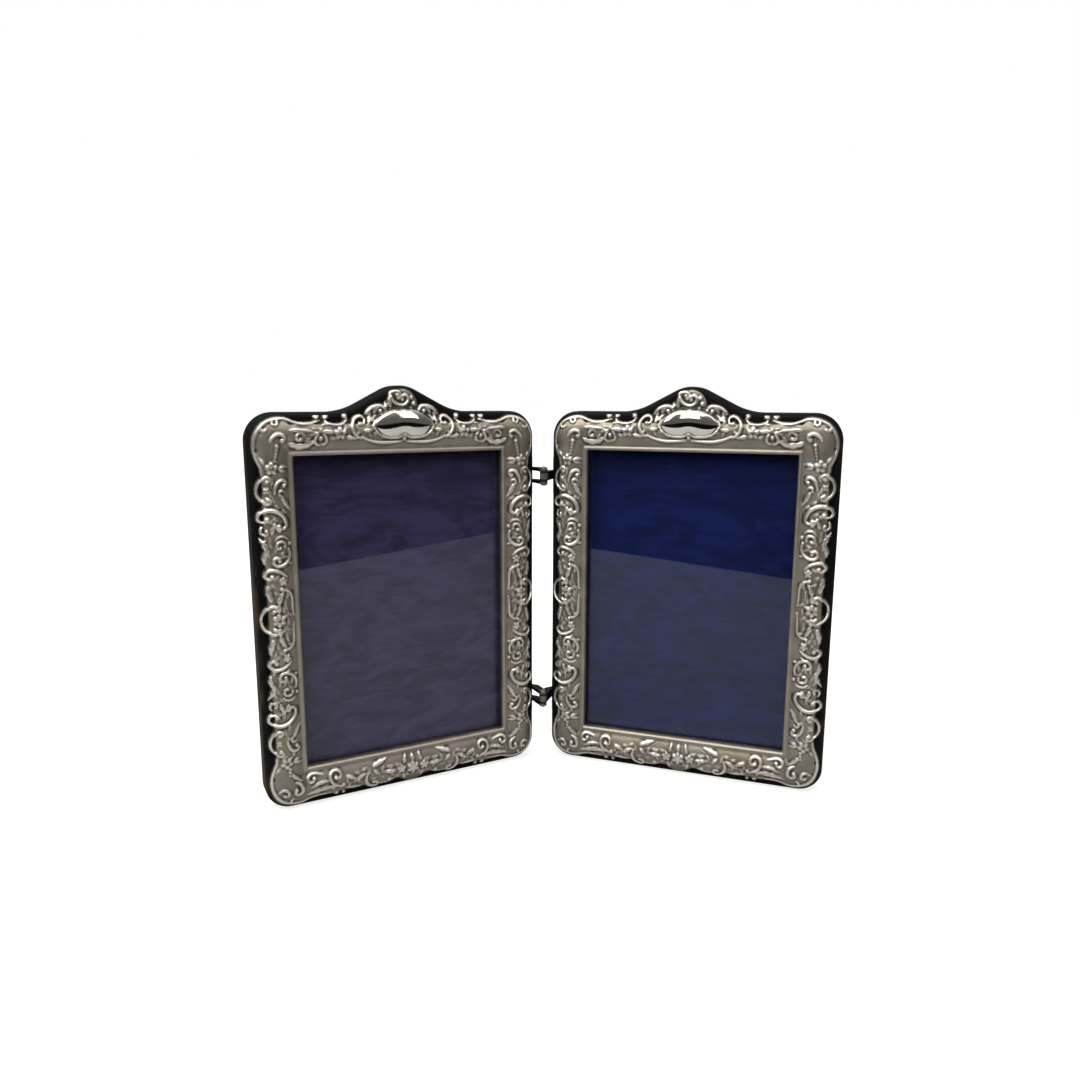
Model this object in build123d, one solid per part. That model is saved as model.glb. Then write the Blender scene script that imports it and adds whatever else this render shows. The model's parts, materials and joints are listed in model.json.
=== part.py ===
"""Hinged double photo frame: two wooden leaves faced with stamped silver, joined by knuckle hinges."""

from build123d import *
import math
import os

# Print, glass and cards
PHOTO_WIDTH = 89.0
PHOTO_HEIGHT = 127.0
SIGHT_OVERLAP_SIDE = 3.3
SIGHT_OVERLAP_END = 4.15
REBATE_PLAY = 1.0
STACK_PLAY = 0.4
GLASS_THICKNESS = 2.0
SILK_GAP = 0.1
SILK_THICKNESS = 1.0
PACKING_THICKNESS = 1.3
PANEL_THICKNESS = 2.2
PANEL_EDGE_ROUND = 0.6

# Wooden board of one leaf
RAIL_SIDE = 15.5
RAIL_BOTTOM = 15.7
RAIL_TOP = 15.6
BOARD_LIP = 2.4
BOARD_EDGE_ROUND = 2.2
BOARD_BACK_CHAMFER = 0.6
TOP_CORNER_RADIUS = 10.5
BOTTOM_CORNER_RADIUS = 9.5
HUMP_RISE = 9.8
HUMP_HALF_WIDTH = 28.0
HUMP_CROWN_RADIUS = 13.0
HUMP_FLANK_ANGLE = 27.8

# Silver mount: section of its border, from the sight edge outwards
SHEET_THICKNESS = 0.7
LIP_PLAY = 0.2
LIP_GLASS_GAP = 0.1
BEAD_WIDTH = 2.0
BEAD_FOOT = 0.9
BEAD_TOP = 1.7
CUSHION_FOOT = 0.8
CUSHION_CREST = 8.0
CUSHION_HEIGHT = 3.0
CUSHION_END = 13.6
SILVER_EDGE_HEIGHT = 0.8
SILVER_MARGIN = 3.4
SILVER_CORNER_RADIUS = 8.0
SECTION_SPARE = 5.0
SCROLL_RELIEF = 0.7
SCROLL_BACK = 1.9
SCROLL_EYE_RADIUS = 1.25
SCROLL_EYE_TURN = 128.0
SCROLL_EYE_INSET = 0.8
SCROLL_INNER_STEP = 0.6

# Scrolls on the side rails: sideways from the rail's middle, up from the leaf's middle, radius and
# the way the thick back of the scroll points, in degrees on the outer left rail
BIG_SCROLL_SIDEWAYS = -0.4
BIG_SCROLL_RISE = 34.5
BIG_SCROLL_RADIUS = 5.4
BIG_SCROLL_BACK = 40.0
SMALL_SCROLL_SIDEWAYS = 1.2
SMALL_SCROLL_RISE = 24.0
SMALL_SCROLL_RADIUS = 4.2
SMALL_SCROLL_BACK = -60.0
PAIR_SCROLL_SIDEWAYS = -1.0
PAIR_SCROLL_RISE = 50.0
PAIR_SCROLL_RADIUS = 3.4
PAIR_SCROLL_BACK = 160.0
MIDDLE_SCROLL_RADIUS = 5.6
MIDDLE_SCROLL_BACK = 180.0
# Scrolls on the top and bottom rails: sideways from the leaf's middle, out from the sight edge
TOP_SCROLL_SIDEWAYS = -15.6
TOP_SCROLL_OUT = 9.6
TOP_SCROLL_RADIUS = 4.2
TOP_SCROLL_BACK = 175.0
BOTTOM_SCROLL_SIDEWAYS = -14.5
BOTTOM_SCROLL_OUT = 8.2
BOTTOM_SCROLL_RADIUS = 4.6
BOTTOM_SCROLL_BACK = 175.0
FLOWER_RADIUS = 2.3
SIDE_FLOWER_RISE = 55.3
TOP_FLOWER_SIDEWAYS = 24.3

# Smooth cartouche and its crest
CARTOUCHE_WIDTH = 20.4
CARTOUCHE_FOOT = 6.2
CARTOUCHE_NOTCH = 7.6
CARTOUCHE_POINT = 11.2
CARTOUCHE_TOP = 15.6
CARTOUCHE_SHOULDER_SIDEWAYS = 5.9
CARTOUCHE_SHOULDER_TOP = 14.7
CARTOUCHE_HEIGHT = 4.2
CARTOUCHE_CROWN_RADIUS = 40.0
CREST_RADIUS = 5.2
CREST_RISE = 17.6
CREST_LOBE_RADIUS = 4.4
CREST_LOBE_RISE = 14.2
CREST_LOBE_SIDEWAYS = 8.6
CREST_CORE_RADIUS = 2.4

# Pins through the flowers
MOUNT_PIN_RADIUS = 0.45
MOUNT_PIN_HEAD_RADIUS = 0.9
MOUNT_PIN_HEAD_HEIGHT = 0.5
MOUNT_PIN_BITE = 3.0
PIN_PLAY = 0.05

# Turn buttons on the back
BUTTON_INSET = 4.8
BUTTON_REACH = 8.6
BUTTON_RADIUS = 2.6
BUTTON_THICKNESS = 1.0
BUTTON_CHAMFER = 0.25
BUTTON_RISE = 36.0
BUTTON_GAP = 0.1
BUTTON_SCREW_RADIUS = 1.1
BUTTON_SCREW_BITE = 4.6
BUTTON_SCREW_HEAD_RADIUS = 2.1
BUTTON_SCREW_HEAD_HEIGHT = 1.0
SCREW_SLOT_WIDTH = 0.45
SCREW_SLOT_DEPTH = 0.45

# Hinges
HALF_ANGLE = 23.5
HINGE_FORWARD = 5.0
HINGE_REACH = 1.9
UPPER_HINGE_DROP = 26.5
LOWER_HINGE_RISE = 27.5
KNUCKLE_RADIUS = 1.6
PRONG_THICKNESS = 1.3
TONGUE_HEIGHT = 3.6
KNUCKLE_GAP = 0.1
ARM_EDGE_GAP = 0.3
ARM_FOOT = 4.0
HINGE_PIN_RADIUS = 0.8
HINGE_PIN_PLAY = 0.05
HINGE_PIN_HEAD_RADIUS = 1.5
HINGE_PIN_HEAD_HEIGHT = 0.7
HINGE_PLATE_LENGTH = 15.0
HINGE_PLATE_WIDTH = 6.0
HINGE_PLATE_THICKNESS = 0.9
HINGE_PLATE_PLAY = 0.05
HINGE_SCREW_SPREAD = 5.4
HINGE_SCREW_RADIUS = 0.7
HINGE_SCREW_HEAD_RADIUS = 1.4
HINGE_SCREW_BITE = 4.5

# Sizes that follow from the ones above
SIGHT_WIDTH = PHOTO_WIDTH - 2 * SIGHT_OVERLAP_SIDE
SIGHT_HEIGHT = PHOTO_HEIGHT - 2 * SIGHT_OVERLAP_END
LEAF_WIDTH = SIGHT_WIDTH + 2 * RAIL_SIDE
SIGHT_BOTTOM = RAIL_BOTTOM
SIGHT_TOP = SIGHT_BOTTOM + SIGHT_HEIGHT
SIGHT_MIDDLE = (SIGHT_BOTTOM + SIGHT_TOP) / 2
SHOULDER = SIGHT_TOP + RAIL_TOP
HUMP_FLANK = math.radians(HUMP_FLANK_ANGLE)
HUMP_RADII = (HUMP_HALF_WIDTH * math.tan(HUMP_FLANK) - HUMP_RISE) / (1 / math.cos(HUMP_FLANK) - 1)
HUMP_FOOT_RADIUS = HUMP_RADII - HUMP_CROWN_RADIUS
REBATE_WIDTH = PHOTO_WIDTH + 2 * REBATE_PLAY
REBATE_HEIGHT = PHOTO_HEIGHT + 2 * REBATE_PLAY
STACK_WIDTH = REBATE_WIDTH - 2 * STACK_PLAY
STACK_HEIGHT = REBATE_HEIGHT - 2 * STACK_PLAY
GLASS_FRONT = BOARD_LIP
SILK_FRONT = GLASS_FRONT + GLASS_THICKNESS + SILK_GAP
PACKING_FRONT = SILK_FRONT + SILK_THICKNESS
PANEL_FRONT = PACKING_FRONT + PACKING_THICKNESS
BOARD_THICKNESS = PANEL_FRONT + PANEL_THICKNESS
WINDOW_MARGIN = SHEET_THICKNESS + LIP_PLAY
RAIL_MIDDLE = SIGHT_WIDTH / 2 + CUSHION_CREST
SECTION_REACH = max(RAIL_SIDE, RAIL_BOTTOM, RAIL_TOP + HUMP_RISE) + SECTION_SPARE
SIDE_SCROLLS = (
    (BIG_SCROLL_SIDEWAYS, BIG_SCROLL_RISE, BIG_SCROLL_RADIUS, BIG_SCROLL_BACK),
    (SMALL_SCROLL_SIDEWAYS, SMALL_SCROLL_RISE, SMALL_SCROLL_RADIUS, SMALL_SCROLL_BACK),
    (PAIR_SCROLL_SIDEWAYS, PAIR_SCROLL_RISE, PAIR_SCROLL_RADIUS, PAIR_SCROLL_BACK),
)
TOP_SCROLL_RISE = SIGHT_TOP + TOP_SCROLL_OUT
BOTTOM_SCROLL_RISE = SIGHT_BOTTOM - BOTTOM_SCROLL_OUT
BUTTON_PIVOT = REBATE_WIDTH / 2 + BUTTON_INSET
HINGE_HEIGHTS = {"upper": SHOULDER - UPPER_HINGE_DROP, "lower": LOWER_HINGE_RISE}
HINGE_AXIS = LEAF_WIDTH / 2 + HINGE_REACH
KNUCKLE_HALF_HEIGHT = TONGUE_HEIGHT / 2 + KNUCKLE_GAP + PRONG_THICKNESS
PLATE_CENTRE = BOARD_THICKNESS / 2


# A leaf is modelled facing -Y with the board's front at y = 0 and its foot at z = 0.


def slab(outline, front, back):
    """Extrude a front-view outline between two depths."""
    return extrude(Plane.XZ.offset(-back) * outline, amount=back - front)


def window(width, height):
    """Front-view rectangle centred on the sight opening."""
    return Pos(0, SIGHT_MIDDLE) * Rectangle(width, height)


def mirrored(shape):
    """A front-view shape and its mirror image about the leaf's middle."""
    return shape + mirror(shape, Plane.YZ)


def board_outline():
    """Rounded rectangle with an arched top: crown, straight flanks and hollow feet."""
    across, along = math.sin(HUMP_FLANK), math.cos(HUMP_FLANK)
    peak = SHOULDER + HUMP_RISE
    crown_end = (HUMP_CROWN_RADIUS * across, peak - HUMP_CROWN_RADIUS * (1 - along))
    foot_start = (HUMP_HALF_WIDTH - HUMP_FOOT_RADIUS * across, SHOULDER + HUMP_FOOT_RADIUS * (1 - along))
    foot_end = (HUMP_HALF_WIDTH, SHOULDER)
    half = LEAF_WIDTH / 2
    top_turn = (half - TOP_CORNER_RADIUS, SHOULDER)
    side_top = (half, SHOULDER - TOP_CORNER_RADIUS)
    side_foot = (half, BOTTOM_CORNER_RADIUS)
    foot_turn = (half - BOTTOM_CORNER_RADIUS, 0)
    edges = [
        RadiusArc((0, peak), crown_end, HUMP_CROWN_RADIUS),
        Line(crown_end, foot_start),
        RadiusArc(foot_start, foot_end, -HUMP_FOOT_RADIUS),
        Line(foot_end, top_turn),
        RadiusArc(top_turn, side_top, TOP_CORNER_RADIUS),
        Line(side_top, side_foot),
        RadiusArc(side_foot, foot_turn, BOTTOM_CORNER_RADIUS),
        Line(foot_turn, (0, 0)),
        Line((0, 0), (0, peak)),
    ]
    return mirrored(make_face(edges))


def flower_places():
    """Sideways and up places of the flowers that are pinned to the board."""
    places = []
    for side in (-1, 1):
        for level in (-1, 0, 1):
            places.append((side * RAIL_MIDDLE, SIGHT_MIDDLE + level * SIDE_FLOWER_RISE))
        places.append((side * TOP_FLOWER_SIDEWAYS, SIGHT_TOP + CUSHION_CREST))
    return places


def border(section):
    """Run a section round the sight opening, mitred at the corners."""
    rails = []
    half_width, half_height = SIGHT_WIDTH / 2, SIGHT_HEIGHT / 2
    sides = (
        ((0, 0, -1), half_height, half_width),
        ((0, 0, 1), half_height, half_width),
        ((-1, 0, 0), half_width, half_height),
        ((1, 0, 0), half_width, half_height),
    )
    for outward, distance, half_length in sides:
        out = Vector(*outward)
        run = out.cross(Vector(0, -1, 0))
        sight_edge = Vector(0, 0, SIGHT_MIDDLE) + out * distance
        rail = extrude(Plane(sight_edge, out, run) * section, amount=half_length + SECTION_REACH, both=True)
        corners = []
        for spread, away in ((-1, 0), (1, 0), (1, SECTION_REACH), (-1, SECTION_REACH)):
            corner = sight_edge + run * spread * (half_length + away) + out * away
            corners.append((corner.X, corner.Z))
        mitres = slab(make_face(Polyline(*corners, close=True)), -CUSHION_HEIGHT * 2, BOARD_THICKNESS)
        rails.append(rail & mitres)
    return rails[0].fuse(*rails[1:])


def silver_section():
    """Section of the silver border: turned-in sight lip, sight bead, cushion and thin outer edge."""
    lip_end = -(BOARD_LIP - LIP_GLASS_GAP)
    cushion_start = (BEAD_WIDTH, CUSHION_FOOT)
    cushion_end = (CUSHION_END, SILVER_EDGE_HEIGHT)
    edges = [
        Line((0, lip_end), (0, BEAD_FOOT)),
        ThreePointArc((0, BEAD_FOOT), (BEAD_WIDTH / 2, BEAD_TOP), (BEAD_WIDTH, BEAD_FOOT)),
        Line((BEAD_WIDTH, BEAD_FOOT), cushion_start),
        ThreePointArc(cushion_start, (CUSHION_CREST, CUSHION_HEIGHT), cushion_end),
        Line(cushion_end, (SECTION_REACH, SILVER_EDGE_HEIGHT)),
        Line((SECTION_REACH, SILVER_EDGE_HEIGHT), (SECTION_REACH, 0)),
        Line((SECTION_REACH, 0), (SHEET_THICKNESS, 0)),
        Line((SHEET_THICKNESS, 0), (SHEET_THICKNESS, lip_end)),
        Line((SHEET_THICKNESS, lip_end), (0, lip_end)),
    ]
    return make_face(edges)


def relief_section():
    """Section of the raised ornament, which follows the cushion one relief higher."""
    foot = CUSHION_FOOT + SCROLL_RELIEF
    crest = CUSHION_HEIGHT + SCROLL_RELIEF
    edge = SILVER_EDGE_HEIGHT + SCROLL_RELIEF
    edges = [
        Line((BEAD_WIDTH, 0), (BEAD_WIDTH, foot)),
        ThreePointArc((BEAD_WIDTH, foot), (CUSHION_CREST, crest), (CUSHION_END, edge)),
        Line((CUSHION_END, edge), (SECTION_REACH, edge)),
        Line((SECTION_REACH, edge), (SECTION_REACH, 0)),
        Line((SECTION_REACH, 0), (BEAD_WIDTH, 0)),
    ]
    return make_face(edges)


def c_scroll(x, z, radius, back_angle):
    """Crescent with two round eyes at its tips; its thick back points at back_angle."""
    back = Vector(math.cos(math.radians(back_angle)), math.sin(math.radians(back_angle)))
    inner = radius - SCROLL_INNER_STEP
    shift = back * (SCROLL_INNER_STEP - SCROLL_BACK)
    scroll = Circle(radius) - Pos(shift.X, shift.Y) * Circle(inner)
    for turn in (-SCROLL_EYE_TURN, SCROLL_EYE_TURN):
        angle = math.radians(back_angle + turn)
        reach = radius - SCROLL_EYE_INSET
        scroll += Pos(reach * math.cos(angle), reach * math.sin(angle)) * Circle(SCROLL_EYE_RADIUS)
    return Pos(x, z) * scroll


def scrolls():
    """All raised scrolls and flowers of one leaf, in front view."""
    shapes = []
    for sideways, rise, radius, back_angle in SIDE_SCROLLS:
        for up in (-1, 1):
            x, z = sideways - RAIL_MIDDLE, SIGHT_MIDDLE + up * rise
            shapes.append(c_scroll(x, z, radius, up * back_angle))
    shapes.append(c_scroll(-RAIL_MIDDLE, SIGHT_MIDDLE, MIDDLE_SCROLL_RADIUS, MIDDLE_SCROLL_BACK))
    shapes.append(c_scroll(TOP_SCROLL_SIDEWAYS, TOP_SCROLL_RISE, TOP_SCROLL_RADIUS, TOP_SCROLL_BACK))
    shapes.append(
        c_scroll(BOTTOM_SCROLL_SIDEWAYS, BOTTOM_SCROLL_RISE, BOTTOM_SCROLL_RADIUS, BOTTOM_SCROLL_BACK)
    )
    shapes += [mirror(shape, Plane.YZ) for shape in shapes]
    shapes += [Pos(x, z) * Circle(FLOWER_RADIUS) for x, z in flower_places()]
    shapes.append(Pos(0, SIGHT_BOTTOM - CUSHION_CREST) * Circle(FLOWER_RADIUS))
    shapes.append(Pos(0, SIGHT_TOP + CREST_RISE) * (Circle(CREST_RADIUS) - Circle(CREST_CORE_RADIUS)))
    lobe = Pos(-CREST_LOBE_SIDEWAYS, SIGHT_TOP + CREST_LOBE_RISE) * Circle(CREST_LOBE_RADIUS)
    shapes.append(mirrored(lobe))
    return shapes


def cartouche():
    """Smooth cushion with a point at each side and a notch below, crowned by a large sphere."""
    half = CARTOUCHE_WIDTH / 2
    side = (-half, SIGHT_TOP + CARTOUCHE_POINT)
    top = (0, SIGHT_TOP + CARTOUCHE_TOP)
    notch = (0, SIGHT_TOP + CARTOUCHE_NOTCH)
    shoulder = (-CARTOUCHE_SHOULDER_SIDEWAYS, SIGHT_TOP + CARTOUCHE_SHOULDER_TOP)
    belly = (-CARTOUCHE_SHOULDER_SIDEWAYS, SIGHT_TOP + CARTOUCHE_FOOT)
    upper = ThreePointArc(side, shoulder, top)
    lower = ThreePointArc(notch, belly, side)
    outline = mirrored(make_face([upper, Line(top, notch), lower]))
    middle = SIGHT_TOP + (CARTOUCHE_FOOT + CARTOUCHE_TOP) / 2
    crown = Pos(0, CARTOUCHE_CROWN_RADIUS - CARTOUCHE_HEIGHT, middle) * Sphere(CARTOUCHE_CROWN_RADIUS)
    return slab(outline, -CARTOUCHE_HEIGHT * 2, 0) & crown


def silver_mount():
    """Stamped silver border of one leaf with its raised ornament."""
    width, height = LEAF_WIDTH - 2 * SILVER_MARGIN, SHOULDER - 2 * SILVER_MARGIN
    edge = Pos(0, SHOULDER / 2) * RectangleRounded(width, height, SILVER_CORNER_RADIUS)
    ground = border(silver_section()) & slab(edge, -CUSHION_HEIGHT * 2, BOARD_THICKNESS)
    raised = border(relief_section())
    solids = [slab(shape, -CUSHION_HEIGHT * 2, 0) & raised for shape in scrolls()]
    mount = ground.fuse(*solids, cartouche())
    for x, z in flower_places():
        mount -= Pos(x, 0, z) * Rot(90, 0, 0) * Cylinder(MOUNT_PIN_RADIUS + PIN_PLAY, CUSHION_HEIGHT * 4)
    return mount


def domed_pin(head_radius, head_height, shank_radius, shank_length):
    """Pin along Z with a domed head above z = 0 and its shank below."""
    dome_radius = (head_radius**2 + head_height**2) / (2 * head_height)
    section = [
        RadiusArc((0, head_height), (head_radius, 0), dome_radius),
        Line((head_radius, 0), (shank_radius, 0)),
        Line((shank_radius, 0), (shank_radius, -shank_length)),
        Line((shank_radius, -shank_length), (0, -shank_length)),
        Line((0, -shank_length), (0, head_height)),
    ]
    return revolve(Plane.XZ * make_face(section), Axis.Z)


def mount_pins():
    """Domed brads through the flowers into the board."""
    seat = CUSHION_HEIGHT + SCROLL_RELIEF
    pin = domed_pin(MOUNT_PIN_HEAD_RADIUS, MOUNT_PIN_HEAD_HEIGHT, MOUNT_PIN_RADIUS, seat + MOUNT_PIN_BITE)
    return [Pos(x, -seat, z) * Rot(90, 0, 0) * pin for x, z in flower_places()]


def frame_board(side):
    """Wooden board of one leaf with its stepped window, hinge mortises and screw holes."""
    board = slab(board_outline(), 0, BOARD_THICKNESS)
    board = fillet(board.faces().sort_by(Axis.Y)[0].outer_wire().edges(), BOARD_EDGE_ROUND)
    board = chamfer(board.faces().sort_by(Axis.Y)[-1].outer_wire().edges(), BOARD_BACK_CHAMFER)
    opening = window(SIGHT_WIDTH + 2 * WINDOW_MARGIN, SIGHT_HEIGHT + 2 * WINDOW_MARGIN)
    board -= slab(opening, 0, BOARD_LIP)
    board -= slab(window(REBATE_WIDTH, REBATE_HEIGHT), BOARD_LIP, BOARD_THICKNESS)
    for x, z in flower_places():
        depth = MOUNT_PIN_BITE + PIN_PLAY
        board -= Pos(x, depth / 2, z) * Rot(90, 0, 0) * Cylinder(MOUNT_PIN_RADIUS + PIN_PLAY, depth)
    for x, z in button_places():
        depth = BUTTON_SCREW_BITE + PIN_PLAY
        hole = Cylinder(BUTTON_SCREW_RADIUS + PIN_PLAY, depth)
        board -= Pos(x, BOARD_THICKNESS - depth / 2, z) * Rot(90, 0, 0) * hole
    for height in HINGE_HEIGHTS.values():
        depth = HINGE_PLATE_THICKNESS
        play = 2 * HINGE_PLATE_PLAY
        mortise = Box(depth, HINGE_PLATE_WIDTH + play, HINGE_PLATE_LENGTH + play)
        board -= Pos(side * (LEAF_WIDTH / 2 - depth / 2), PLATE_CENTRE, height) * mortise
        for spread in (-1, 1):
            bite = HINGE_SCREW_BITE + PIN_PLAY
            hole = Rot(0, 90, 0) * Cylinder(HINGE_SCREW_RADIUS + PIN_PLAY, bite)
            x = side * (LEAF_WIDTH / 2 - depth - bite / 2)
            board -= Pos(x, PLATE_CENTRE, height + spread * HINGE_SCREW_SPREAD) * hole
    return board


def pane(front, thickness):
    """Flat sheet that fills the rebate."""
    return slab(window(STACK_WIDTH, STACK_HEIGHT), front, front + thickness)


def back_panel():
    """Velvet-covered panel, flush with the back of the board, with softened back edges."""
    panel = pane(PANEL_FRONT, PANEL_THICKNESS)
    return fillet(panel.faces().sort_by(Axis.Y)[-1].edges(), PANEL_EDGE_ROUND)


def button_places():
    """Sideways and up places of the turn buttons' screws."""
    return [(side * BUTTON_PIVOT, SIGHT_MIDDLE + up * BUTTON_RISE) for side in (-1, 1) for up in (-1, 1)]


def turn_button(x, z):
    """Brass turn button, round at both ends, lying inwards over the back panel."""
    inward = -math.copysign(1, x)
    plan = Circle(BUTTON_RADIUS) + Pos(inward * BUTTON_REACH / 2) * SlotOverall(
        BUTTON_REACH + 2 * BUTTON_RADIUS, 2 * BUTTON_RADIUS
    )
    front = BOARD_THICKNESS + BUTTON_GAP
    button = slab(plan, front, front + BUTTON_THICKNESS)
    button = chamfer(button.faces().sort_by(Axis.Y)[-1].edges(), BUTTON_CHAMFER)
    hole = Rot(90, 0, 0) * Cylinder(BUTTON_SCREW_RADIUS + PIN_PLAY, BOARD_THICKNESS * 4)
    return Pos(x, 0, z) * (button - hole)


def button_screws():
    """Round-headed slotted screws that the turn buttons swing on."""
    seat = BUTTON_THICKNESS + 2 * BUTTON_GAP
    bite = seat + BUTTON_SCREW_BITE
    screw = domed_pin(BUTTON_SCREW_HEAD_RADIUS, BUTTON_SCREW_HEAD_HEIGHT, BUTTON_SCREW_RADIUS, bite)
    slot = Box(2 * BUTTON_SCREW_HEAD_RADIUS, SCREW_SLOT_WIDTH, 2 * SCREW_SLOT_DEPTH)
    screw -= Pos(0, 0, BUTTON_SCREW_HEAD_HEIGHT) * slot
    return [Pos(x, BOARD_THICKNESS + seat, z) * Rot(-90, 0, 0) * screw for x, z in button_places()]


def hinge_plate(side, height):
    """Plate let into the hinged edge of a leaf, with two countersunk screw holes."""
    plate = Box(HINGE_PLATE_THICKNESS, HINGE_PLATE_WIDTH, HINGE_PLATE_LENGTH)
    plate = Pos(side * (LEAF_WIDTH / 2 - HINGE_PLATE_THICKNESS / 2), PLATE_CENTRE, height) * plate
    for spread in (-1, 1):
        sink = Cone(HINGE_SCREW_RADIUS + PIN_PLAY, HINGE_SCREW_HEAD_RADIUS + PIN_PLAY, HINGE_PLATE_THICKNESS)
        x = side * (LEAF_WIDTH / 2 - HINGE_PLATE_THICKNESS / 2)
        plate -= Pos(x, PLATE_CENTRE, height + spread * HINGE_SCREW_SPREAD) * Rot(0, side * 90, 0) * sink
    return plate


def hinge_screws(side):
    """Countersunk screws that hold the hinge plates, flush with them."""
    half_plate = HINGE_PLATE_THICKNESS / 2
    shank = Cylinder(HINGE_SCREW_RADIUS, HINGE_SCREW_BITE)
    screw = Cone(HINGE_SCREW_RADIUS, HINGE_SCREW_HEAD_RADIUS, HINGE_PLATE_THICKNESS)
    screw += Pos(0, 0, -half_plate - HINGE_SCREW_BITE / 2) * shank
    screw -= Pos(0, 0, half_plate) * Box(2 * HINGE_SCREW_HEAD_RADIUS, SCREW_SLOT_WIDTH, 2 * SCREW_SLOT_DEPTH)
    x = side * (LEAF_WIDTH / 2 - half_plate)
    screws = []
    for height in HINGE_HEIGHTS.values():
        for spread in (-1, 1):
            seat = Pos(x, PLATE_CENTRE, height + spread * HINGE_SCREW_SPREAD)
            screws.append(seat * Rot(0, side * 90, 0) * screw)
    return screws


def hinge_arm(side, low, high):
    """Cranked arm from the plate forward to the knuckle, between two heights."""
    edge = LEAF_WIDTH / 2
    near, far = edge + ARM_EDGE_GAP, HINGE_AXIS + KNUCKLE_RADIUS
    foot_front, foot_back = PLATE_CENTRE - ARM_FOOT / 2, PLATE_CENTRE + ARM_FOOT / 2
    plan = make_face(
        Polyline(
            (edge, foot_front),
            (edge, foot_back),
            (near, foot_back),
            (far, foot_front),
            (far, -HINGE_FORWARD),
            (HINGE_AXIS - KNUCKLE_RADIUS, -HINGE_FORWARD),
            (near, foot_front),
            close=True,
        )
    )
    plan += Pos(HINGE_AXIS, -HINGE_FORWARD) * Circle(KNUCKLE_RADIUS)
    plan -= Pos(HINGE_AXIS, -HINGE_FORWARD) * Circle(HINGE_PIN_RADIUS + HINGE_PIN_PLAY)
    arm = Pos(0, 0, low) * extrude(plan, amount=high - low)
    return arm if side > 0 else mirror(arm, Plane.YZ)


def clevis(side, height):
    """Plate with two prongs that hold the hinge pin."""
    inner = TONGUE_HEIGHT / 2 + KNUCKLE_GAP
    upper = hinge_arm(side, height + inner, height + KNUCKLE_HALF_HEIGHT)
    lower = hinge_arm(side, height - KNUCKLE_HALF_HEIGHT, height - inner)
    return hinge_plate(side, height) + upper + lower


def tongue(side, height):
    """Plate with the single arm that turns on the hinge pin between the prongs."""
    return hinge_plate(side, height) + hinge_arm(side, height - TONGUE_HEIGHT / 2, height + TONGUE_HEIGHT / 2)


def hinge_pin(side, height):
    """Riveted pin with a domed head above and below the knuckle."""
    top = KNUCKLE_HALF_HEIGHT + KNUCKLE_GAP
    half = Pos(0, 0, top) * domed_pin(HINGE_PIN_HEAD_RADIUS, HINGE_PIN_HEAD_HEIGHT, HINGE_PIN_RADIUS, top)
    return Pos(side * HINGE_AXIS, -HINGE_FORWARD, height) * (half + mirror(half, Plane.XY))


def leaf(side, mount):
    """Every piece of one leaf in its own frame; side is where its hinged edge lies, +X (1) or -X (-1)."""
    pieces = {
        "frame_board": frame_board(side),
        "silver_mount": mount,
        "mount_pins": mount_pins(),
        "glass": pane(GLASS_FRONT, GLASS_THICKNESS),
        "silk_card": pane(SILK_FRONT, SILK_THICKNESS),
        "packing_card": pane(PACKING_FRONT, PACKING_THICKNESS),
        "back_panel": back_panel(),
        "button_screws": button_screws(),
        "hinge_screws": hinge_screws(side),
    }
    for x, z in button_places():
        across = "inner" if x * side > 0 else "outer"
        level = "upper" if z > SIGHT_MIDDLE else "lower"
        pieces[f"turn_button_{across}_{level}"] = turn_button(x, z)
    return pieces


def stand(piece, side):
    """Put a piece of a leaf in place: swung open by half the angle about the hinge axis at x = y = 0."""
    return Rot(0, 0, side * HALF_ANGLE) * Pos(-side * HINGE_AXIS, HINGE_FORWARD, 0) * piece


parts = {}
stamped = silver_mount()
for name, side in (("left", 1), ("right", -1)):
    for piece_name, piece in leaf(side, stamped).items():
        solids = piece if isinstance(piece, list) else [piece]
        parts[f"{name}_{piece_name}"] = [stand(solid, side) for solid in solids]
for level, height in HINGE_HEIGHTS.items():
    parts[f"{level}_clevis"] = [stand(clevis(1, height), 1)]
    parts[f"{level}_hinge_pin"] = [stand(hinge_pin(1, height), 1)]
    parts[f"{level}_tongue"] = [stand(tongue(-1, height), -1)]

# The origin is on the floor, in the middle of the standing frame's box.
box = Compound([solid for group in parts.values() for solid in group]).bounding_box()
shift = Pos(-box.center().X, -box.center().Y, -box.min.Z)

os.makedirs("parts", exist_ok=True)
for node, group in parts.items():
    export_step(Compound([shift * solid for solid in group]), f"parts/{node}.step")
print("hinge axis at", round(-box.center().X, 4), round(-box.center().Y, 4))
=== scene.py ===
"""Looks of a hinged double photo frame: stamped silver, black wood, silk and glass round its CAD solids."""

import json
import math

import bpy
import numpy as np
from bpy.props import FloatProperty, FloatVectorProperty, PointerProperty
from mathutils import Matrix, Vector
from mathutils.geometry import tessellate_polygon


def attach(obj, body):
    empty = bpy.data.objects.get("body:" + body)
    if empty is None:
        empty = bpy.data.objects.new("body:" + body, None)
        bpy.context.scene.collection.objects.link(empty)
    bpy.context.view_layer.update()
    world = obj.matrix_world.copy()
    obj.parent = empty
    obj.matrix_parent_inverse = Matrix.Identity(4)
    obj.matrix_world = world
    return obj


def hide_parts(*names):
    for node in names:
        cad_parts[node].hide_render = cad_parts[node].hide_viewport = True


bl_info = {
    "name": "Hinged double photo frame",
    "version": (1, 0, 0),
    "blender": (4, 5, 0),
    "location": "3D View > Sidebar > Photo frame",
    "description": "Dresses the solids of a silver-faced double photo frame",
    "category": "Object",
}

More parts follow.
